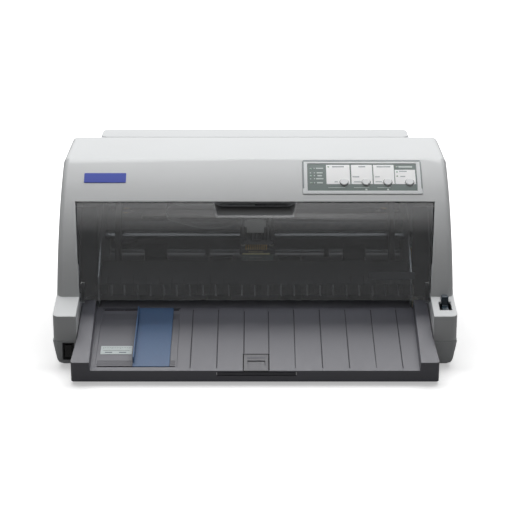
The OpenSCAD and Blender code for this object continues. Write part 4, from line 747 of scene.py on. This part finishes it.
def curved_plate(name, outline, low, high, material, body="base", ease=0.0):
    """A thin plate that follows the front: outline is its corners as (x, down) in mm, low and high its two heights."""
    bm = bmesh.new()
    bm.faces.new([bm.verts.new((x, d, 0.0)) for x, d in outline])
    for number in range(1, 60):
        bmesh.ops.bisect_plane(bm, geom=bm.verts[:] + bm.edges[:] + bm.faces[:],
                               plane_co=(0.0, number * 3.0, 0.0), plane_no=(0.0, 1.0, 0.0))
    raised = bmesh.ops.extrude_face_region(bm, geom=bm.faces[:], use_keep_orig=True)
    top = {v for v in raised["geom"] if isinstance(v, bmesh.types.BMVert)}
    for v in bm.verts:
        v.co = on_front(v.co.x, v.co.y, high if v in top else low)
    bmesh.ops.recalc_face_normals(bm, faces=bm.faces)
    piece_of(bm, name, material, body, ease,
             [e for e in bm.edges if len(e.link_faces) == 2 and e.calc_face_angle() > 0.5])


def rectangle(x0, x1, d0, d1, r=0.0):
    """A rectangle in (x, down), with its corners rounded by r where r is given."""
    if not r:
        return [(x0, d0), (x1, d0), (x1, d1), (x0, d1)]
    centres = ((x1 - r, d0 + r, -90), (x1 - r, d1 - r, 0), (x0 + r, d1 - r, 90), (x0 + r, d0 + r, 180))
    return [round_point(x, d, r, first + k * 22.5) for x, d, first in centres for k in range(5)]


# Printed and lacquered aluminium: an even strong blue with a satin lacquer and faint brushing across it.
satin_blue = mottled("blue_lacquered_plate", "2F47B5", 0.5, (1.0, 2.0), ("2B43B0", "334BBA"),
                     drawn=(60.0, 2400.0, 2400.0), Specular_IOR_Level=0.3)
curved_plate("badge_plate", rectangle(-210.8, -159.2, 26.1, 41.0, 0.8), -0.3, 0.55, satin_blue, ease=0.2)


# Control panel. A pale frame holds a grey-green printed film with white fields and plain printed bars; round
# grey keys stand through it, and small lamps show beside them.
eased("panel_frame", case_abs("panel_frame_abs", "E6E9EB", "E0E3E5"), 0.0005)


def printed_film(name, colour, other):
    """Screen-printed polyester film: flat ink under a fine matt hard coat, with slight unevenness of the ink."""
    made, tree, skin, place = finish(name, colour, 0.42)
    worked(skin, add(tree, "TexNoise", {"Vector": place, "Scale": 320.0, "Detail": 3.0}), (colour, other))
    worked(skin, add(tree, "TexNoise", {"Vector": place, "Scale": 1600.0, "Detail": 2.0}), rough=(0.36, 0.5))
    return made


green_film = printed_film("grey_green_film", "546562", "5B6C68")
white_ink = printed_film("white_ink", "FDFDFE", "F9FAFA")
pale_ink = printed_film("pale_ink", "C9D2CF", "BEC8C5")
grey_ink = printed_film("grey_ink", "9CA2A8", "A8ADB2")
eased("panel_plate", green_film, 0.0002)
# Painted shade: darker strips along the top and the sides of the frame stand for the shadow in the recess that the
# frame sits in.
seam_shade = printed_film("painted_panel_recess_shade", "7C8587", "838C8E")
curved_plate("panel_shade_top", rectangle(59.4, 205.3, 4.7, 7.4, 1.2), 0.5, 0.88, seam_shade)
curved_plate("panel_shade_left", rectangle(58.95, 60.5, 7.4, 50.0), 0.5, 0.86, seam_shade)
curved_plate("panel_shade_right", rectangle(204.5, 205.7, 7.4, 50.0), 0.5, 0.86, seam_shade)
key_x, key_d, field_foot = (109.8, 136.9, 163.6, 190.6), 40.4, 43.2  # keys across and down, and the fields' foot
fields = ((88.1, 117.3, 12.4), (119.0, 145.1, 12.4), (146.5, 172.0, 12.4), (173.0, 198.2, 20.7))
for number, (key, (x0, x1, d0)) in enumerate(zip(key_x, fields), 1):
    notch = [round_point(key, key_d, 5.7, a) for a in range(29, -210, -14)]
    outline = [(x0, d0), (x1, d0), (min(x1, key + 5.0), field_foot)] + notch[:-1]
    outline += [(max(x0, key - 5.0), field_foot), (x0, field_foot)]
    if x1 - key > 6:
        outline.insert(2, (x1, field_foot))
    curved_plate("panel_field_%d" % number, outline, 0.2, 0.36, white_ink)


def printed_marks(name, marks, material, out):
    """Printed bars on the curved front: each is (x, down, length, height) in millimetres."""
    face = Vector((0.0, arc_y, arc_z))
    bars(name, "base", [(on_front(x, d, out), (length / 1000, height / 1000, 0.00012),
                         (on_front(0, d) - face) / arc_r) for x, d, length, height in marks], material)


rows = (18.3, 25.6, 30.2, 35.0, 41.3)
printed_marks("panel_marks_pale",
              [(80.0, d, 9.0 - (k % 3) * 1.6, 1.9) for k, d in enumerate(rows)]
              + [(x, d, 1.4, 1.4) for d in rows for x in (68.6, 73.4)]
              + [(100.5, 48.6, 21.0, 0.5), (131.0, 48.6, 19.0, 0.5), (158.5, 48.6, 16.0, 0.5)]
              + [(136.8, 51.4, 2.4, 2.4), (163.5, 51.4, 2.4, 2.4), (186.5, 15.9, 17.0, 2.6), (176.0, 15.9, 1.6, 1.6)],
              pale_ink, 0.36)
printed_marks("panel_marks_grey",
              [(103.0, 15.6, 14.5, 1.9), (132.5, 15.6, 8.5, 1.9), (159.5, 15.6, 17.0, 1.9), (183.0, 23.2, 9.5, 1.6),
               (124.5, 32.0, 8.5, 1.5), (151.0, 32.0, 6.0, 1.2), (182.5, 31.4, 6.0, 1.2), (126.5, 39.8, 9.0, 1.2),
               (152.5, 39.8, 8.0, 1.2), (100.0, 39.8, 4.0, 1.2)], grey_ink, 0.42)

# Painted shadow: a dark crescent under each key stands for the shadow that the key casts on the film.
painted_key_shadow = printed_film("painted_key_shadow", "3C4341", "454C4A")
ring = [round_point(0.0, 0.0, 1.0, a) for a in range(0, 181, 15)]
for number, x in enumerate(key_x, 1):
    crescent = [(x + 5.5 * c, key_d + (5.5 + 1.2 * s) * s) for c, s in ring]
    crescent += [(x + 5.45 * c, key_d + 5.45 * s) for c, s in ring[-2:0:-1]]
    curved_plate("key_shade_%d" % number, crescent, 0.3, 0.44, painted_key_shadow)

# Satin ABS key tops: light neutral grey, rubbed slightly brighter where fingers press.
key_grey = mottled("key_top_abs", "F0F2F4", 0.4, (500.0, 3.0), ("EBEDEF", "F5F6F7"))
for node in ("tear_button", "feed_button", "load_button", "pause_button"):
    eased(node, key_grey, 0.0009, steps=3)

# Clear tinted lamp bodies: pale green acrylic that is smooth and a little bright inside.
eased("indicator_leds", mottled("lamp_lens", "98B5A2", 0.18, (900.0,), ("8DAA98", "A9C4B0"),
                                Subsurface_Weight=0.3, Subsurface_Scale=0.001), 0.0003)


# Release lever. A lever gloss-moulded in very dark teal ABS, with faint flow marks, stands in a T-shaped slot of
# the right pod and turns on a steel pin; its tip is ridged for the fingertip and polished by use.
eased("release_lever", mottled("lever_dark_teal", "172D3A", 0.28, (160.0, 3.0, 0.5, 1.0), ("132733", "1E3745"),
                               (0.2, 0.38)), 0.001)


# Front cover. A curved sheet of smoked transparent polycarbonate, 2.5 mm thick, with a finger recess at its
# top edge and ribs inside its foot; it tips forward on two pins in the pods.
def smoked_polycarbonate():
    """Smoked polycarbonate: a dark neutral tint with a polished face. Lamps are let through at the tint's
    strength, because the renderer would otherwise treat the sheet as opaque to them."""
    made, tree, skin, place = finish("smoked_polycarbonate", "A4A6A8", 0.05, Transmission_Weight=1.0, IOR=1.58)
    clear = add(tree, "BsdfTransparent", {"Color": srgb("E2E3E5")})
    add(tree, "MixShader", {0: add(tree, "LightPath", out="Is Shadow Ray"), 1: skin["Roughness"].node.outputs[0],
                            2: clear}, to=tree.nodes["Material Output"].inputs["Surface"])
    smear = add(tree, "TexNoise", {"Vector": place, "Scale": 14.0, "Detail": 5.0, "Roughness": 0.6})
    dull = add(tree, "MapRange", {"Value": smear, "From Min": 0.4, "From Max": 0.75, "To Min": 0.03, "To Max": 0.1})
    # How far below the outer face: the finger recess has a matt eroded grip, and the ribs are darker, partly because
    # light meets more plastic there and partly as painted shade; the recess is tinted darker too, as painted shade in
    # the pocket.
    flat = add(tree, "VectorMath", {0: place, 1: (0.0, 1.0, 1.0)}, operation="MULTIPLY")
    reach = add(tree, "VectorMath", {0: flat, 1: (0.0, arc_y, arc_z)}, "Value", operation="DISTANCE")
    below = add(tree, "Math", {0: arc_r, 1: reach}, operation="SUBTRACT")
    sunk = add(tree, "MapRange", {"Value": below, "From Min": 0.0002, "From Max": 0.0007})
    split = add(tree, "SeparateXYZ", {0: place}).node.outputs
    high = add(tree, "MapRange", {"Value": split["Z"], "From Min": 0.1545, "From Max": 0.1555})
    aside = add(tree, "Math", {0: split["X"]}, operation="ABSOLUTE")
    lean = add(tree, "Math", {0: split["Z"], 1: -0.28, 2: aside}, operation="MULTIPLY_ADD")
    near = add(tree, "MapRange", {"Value": lean, "From Min": 0.0025, "From Max": 0.0035, "To Min": 1.0, "To Max": 0.0})
    dish = add(tree, "Math", {0: high, 1: near}, operation="MULTIPLY")
    grip = add(tree, "Math", {0: dish, 1: sunk}, operation="MULTIPLY")
    rib = add(tree, "MapRange", {"Value": below, "From Min": 0.0026, "From Max": 0.0028})
    thick = add(tree, "Math", {0: rib, 1: grip}, operation="MAXIMUM")
    add(tree, "Mix", {"Factor": thick, 2: dull, 3: 0.9}, to=skin["Roughness"])
    # Painted shade: the ribs and the finger recess are tinted darker.
    worked(skin, thick, ("A4A6A8", "4A4C4E"))
    return made


eased("front_cover", smoked_polycarbonate(), 0.0007)
curved_plate("cover_strip", rectangle(136.6, 192.7, 159.5, 168.0, 0.6), -0.1, 0.15,
             printed_film("faint_cover_strip", "5A5C5F", "606265"), "cover")


def edge_line(name, points, radius, material, body):
    """A thin round line through these points, closed at its ends."""
    path = bpy.data.curves.new(name, "CURVE")
    path.dimensions = "3D"
    path.bevel_depth, path.bevel_resolution, path.use_fill_caps = radius, 2, True
    line = path.splines.new("POLY")
    line.points.add(len(points) - 1)
    for spot, p in zip(line.points, points):
        spot.co = (*p, 1.0)
    drawn = put(name + "_path", path)
    shape = as_drawn(drawn)
    bpy.data.objects.remove(drawn)
    shape.materials.clear()
    shape.materials.append(material)
    hold(put(name, shape), body)


# A pale line along the rim of the finger recess is a painted highlight, and dark strips along the cover's sides are
# painted shade in the gaps beside it.
half_recess = 0.0505
left_rim = [(inset - half_recess, y, z) for inset, y, z in ((0.0, -0.0200, 0.1684), (0.004, -0.0182, 0.1660),
                                                            (0.010, -0.0160, 0.1636))]
edge_line("recess_rim", left_rim + [(-x, y, z) for x, y, z in left_rim[::-1]], 0.0005,
          black_moulding("painted_highlight_rim", "C9CBD0", 0.3), "cover")
# Painted shade: near-black strips where the gap beside the cover lies in shadow.
gap_shade_finish = black_moulding("painted_gap_shade", "0D0D0F", 0.9)
for name, x0, x1 in (("cover_gap_shade_left", -211.9, -210.2), ("cover_gap_shade_right", 210.2, 211.9)):
    curved_plate(name, rectangle(x0, x1, 71.0, 185.0), -3.4, -2.7, gap_shade_finish, "cover")


# Front sheet guide. A dark satin ABS tray with fine grooves along the sheet's path; its floor shines a
# little along the way that paper slides. A pull-out extension sits in its lip.
def tray_abs(name, colour, shade):
    """Dark grey ABS: satin, with a fine grain, streaks polished by paper along the slope and a trace of dust."""
    made, tree, skin, place = finish(name, colour, 0.45)
    along = add(tree, "Mapping", {"Vector": place, "Scale": (420.0, 14.0, 420.0)})
    streak = add(tree, "TexNoise", {"Vector": along, "Scale": 1.0, "Detail": 3.0})
    grain = add(tree, "TexNoise", {"Vector": place, "Scale": 1500.0, "Detail": 2.0})
    both = add(tree, "Math", {0: streak, 1: grain}, operation="MULTIPLY")
    worked(skin, both, rough=(0.36, 0.56), span=(0.12, 0.42))
    worked(skin, streak, (shade, colour))
    worked(skin, grain, relief=(0.25, 0.0003))
    return made


def painted_rim_shade(made):
    """Painted shade darkens the rim of the bar's front, where it meets the lip: dark lines stand for the shadow in the
    gap.
    """
    tree = made.node_tree
    skin = tree.nodes["Principled BSDF"].inputs
    split = add(tree, "SeparateXYZ", {0: add(tree, "TexCoord", out="Object")}).node.outputs
    sides = [add(tree, "MapRange", {"Value": split[axis], "From Min": start, "From Max": stop})
             for axis, start, stop in (("Z", 0.0150, 0.0152), ("Z", 0.0121, 0.0119),
                                       ("X", 0.0464, 0.0466), ("X", -0.0429, -0.0431))]
    rim = sides[0]
    for side in sides[1:]:
        rim = add(tree, "Math", {0: rim, 1: side}, operation="MAXIMUM")
    front = add(tree, "MapRange", {"Value": split["Y"], "From Min": -0.1844, "From Max": -0.1846})
    where = add(tree, "Math", {0: rim, 1: front}, operation="MULTIPLY")
    clean = skin["Base Color"].links[0].from_socket
    add(tree, "Mix", {"Factor": where, 6: clean, 7: srgb("121215")}, 2, skin["Base Color"], data_type="RGBA")


tray_grey = tray_abs("tray_abs", "6E6E75", "68686F")
eased("front_sheet_guide", tray_grey, 0.0006)
extension_abs = tray_abs("extension_abs", "5C5C62", "57575C")
# Painted shade: dark lines round the bar's front.
painted_rim_shade(extension_abs)
eased("sheet_guide_extension", extension_abs, 0.0005)
slope = math.radians(13.4)
tray_up = Vector((0.0, -math.sin(slope), math.cos(slope)))


def on_tray(x, up, out=0.0):
    """A point on the sheet guide: x, millimetres up its slope from the lip, and millimetres above the sheet."""
    return (Vector((0.0, -0.185, 0.0168)) + Vector((x / 1000, 0.0, 0.0))
            + Vector((0.0, math.cos(slope), math.sin(slope))) * (up / 1000) + tray_up * (out / 1000))


def tray_bars(name, places, material, body="sheet_guide"):
    """Thin bars on the sheet guide: each is x, up the slope and above the sheet in mm, then its size in metres."""
    bars(name, body, [(on_tray(x, up, out), size) for x, up, out, size in places], material, up=tray_up)


# Fine lines across the channel, moulded into its floor in front of and behind the edge guide's way.
tray_bars("channel_lines", [(-138.5, first + k * 1.45, -1.15, (0.092, 0.00045, 0.0003))
                            for first, count in ((12.6, 7), (106.5, 8)) for k in range(count)], tray_grey)


# Painted shade: dark lines lie in the grooves of the sheet surface, and a keeper under the channel's two slots, which
# holds the hooks of the edge guide, is drawn near black so that the slots read as shade.
tray_bars("painted_groove_shade",
          [(x, 66.0, -0.46, (0.0008, 0.119, 0.00012)) for x in (-75.2, -44.4, 47.1, 78.4, 109.6, 140.9, 171.5)]
          + [(x, 78.5, -0.46, (0.0008, 0.087, 0.00012)) for x in (-13.0, 16.3)],
          black_moulding("painted_groove_shade", "333338", 0.8))
# Painted shade: a near-black finish for slots and gaps that lie in shadow.
deep_shade = black_moulding("painted_shade_black", "09090B", 0.9)
tray_bars("slot_keepers", [(-138.4, up, -4.5, (0.096, 0.014, 0.0005)) for up in (14.5, 130.0)], deep_shade)
# Painted shadow: near-black lines round the extension's tab stand for the shadow in its gap, and a grey band on the tab
# for the shade at its step.
tray_bars("tab_way_shade", [(1.35, 32.85, -0.02, (0.0313, 0.0011, 0.00012))]
          + [(x, 16.6, -0.02, (0.0009, 0.0318, 0.00012)) for x in (-13.75, 16.45)], deep_shade)
tray_bars("tab_step_shade", [(1.35, 25.4, -0.09, (0.0215, 0.0024, 0.0001))],
          black_moulding("tab_step_painted_shade", "56565F", 0.6), body=body_of["sheet_guide_extension"])


# Scale strip. A pale printed strip in the channel, with plain marks for the sheet's edge.
bm = bmesh.new()
bmesh.ops.create_cube(bm, size=1.0)
for v in bm.verts:
    v.co = on_tray(-163.2 + 36.8 * v.co.x, 42.25 + 16.5 * v.co.y, -1.1 + 0.3 * v.co.z)
piece_of(bm, "scale_strip", printed_film("scale_strip_film", "C6CFCE", "BCC6C6"), "sheet_guide", 0.06,
         bm.edges[:])
marks = [(-163.2, 41.4, 0.031, 0.0006), (-172.0, 37.6, 0.0085, 0.0016), (-155.5, 37.6, 0.0085, 0.0016)]
marks = [(-178.5 + k * 2.0, 47.0 if k % 5 else 46.4, 0.00045, 0.0012 if k % 5 else 0.0024) for k in range(17)] + marks
tray_bars("scale_marks", [(x, up, -0.92, (across, along, 0.0001)) for x, up, across, along in marks],
          printed_film("dark_ink", "4A5560", "525D68"))


# Edge guide. A flat plate with a thin raised fence along its left edge; two hooks under it run in the slots of
# the channel. Its blue-grey ABS is slightly translucent, so that light gathers in the fence, and sliding leaves
# fine scratches.
eased("edge_guide", mottled("edge_guide_blue", "4C678B", 0.46, (1.0, 3.0), ("476286", "506C91"), (0.38, 0.54),
                            drawn=(700.0, 25.0, 700.0), Specular_IOR_Level=0.35, Subsurface_Weight=0.12,
                            Subsurface_Scale=0.003), 0.0004)


# Rear sheet guide. A flat ABS plate hinged behind the top, on which single sheets lean when it is raised.
eased("rear_sheet_guide", case_abs("rear_guide_abs", "D6D8D9", "D0D2D3"), 0.0008)
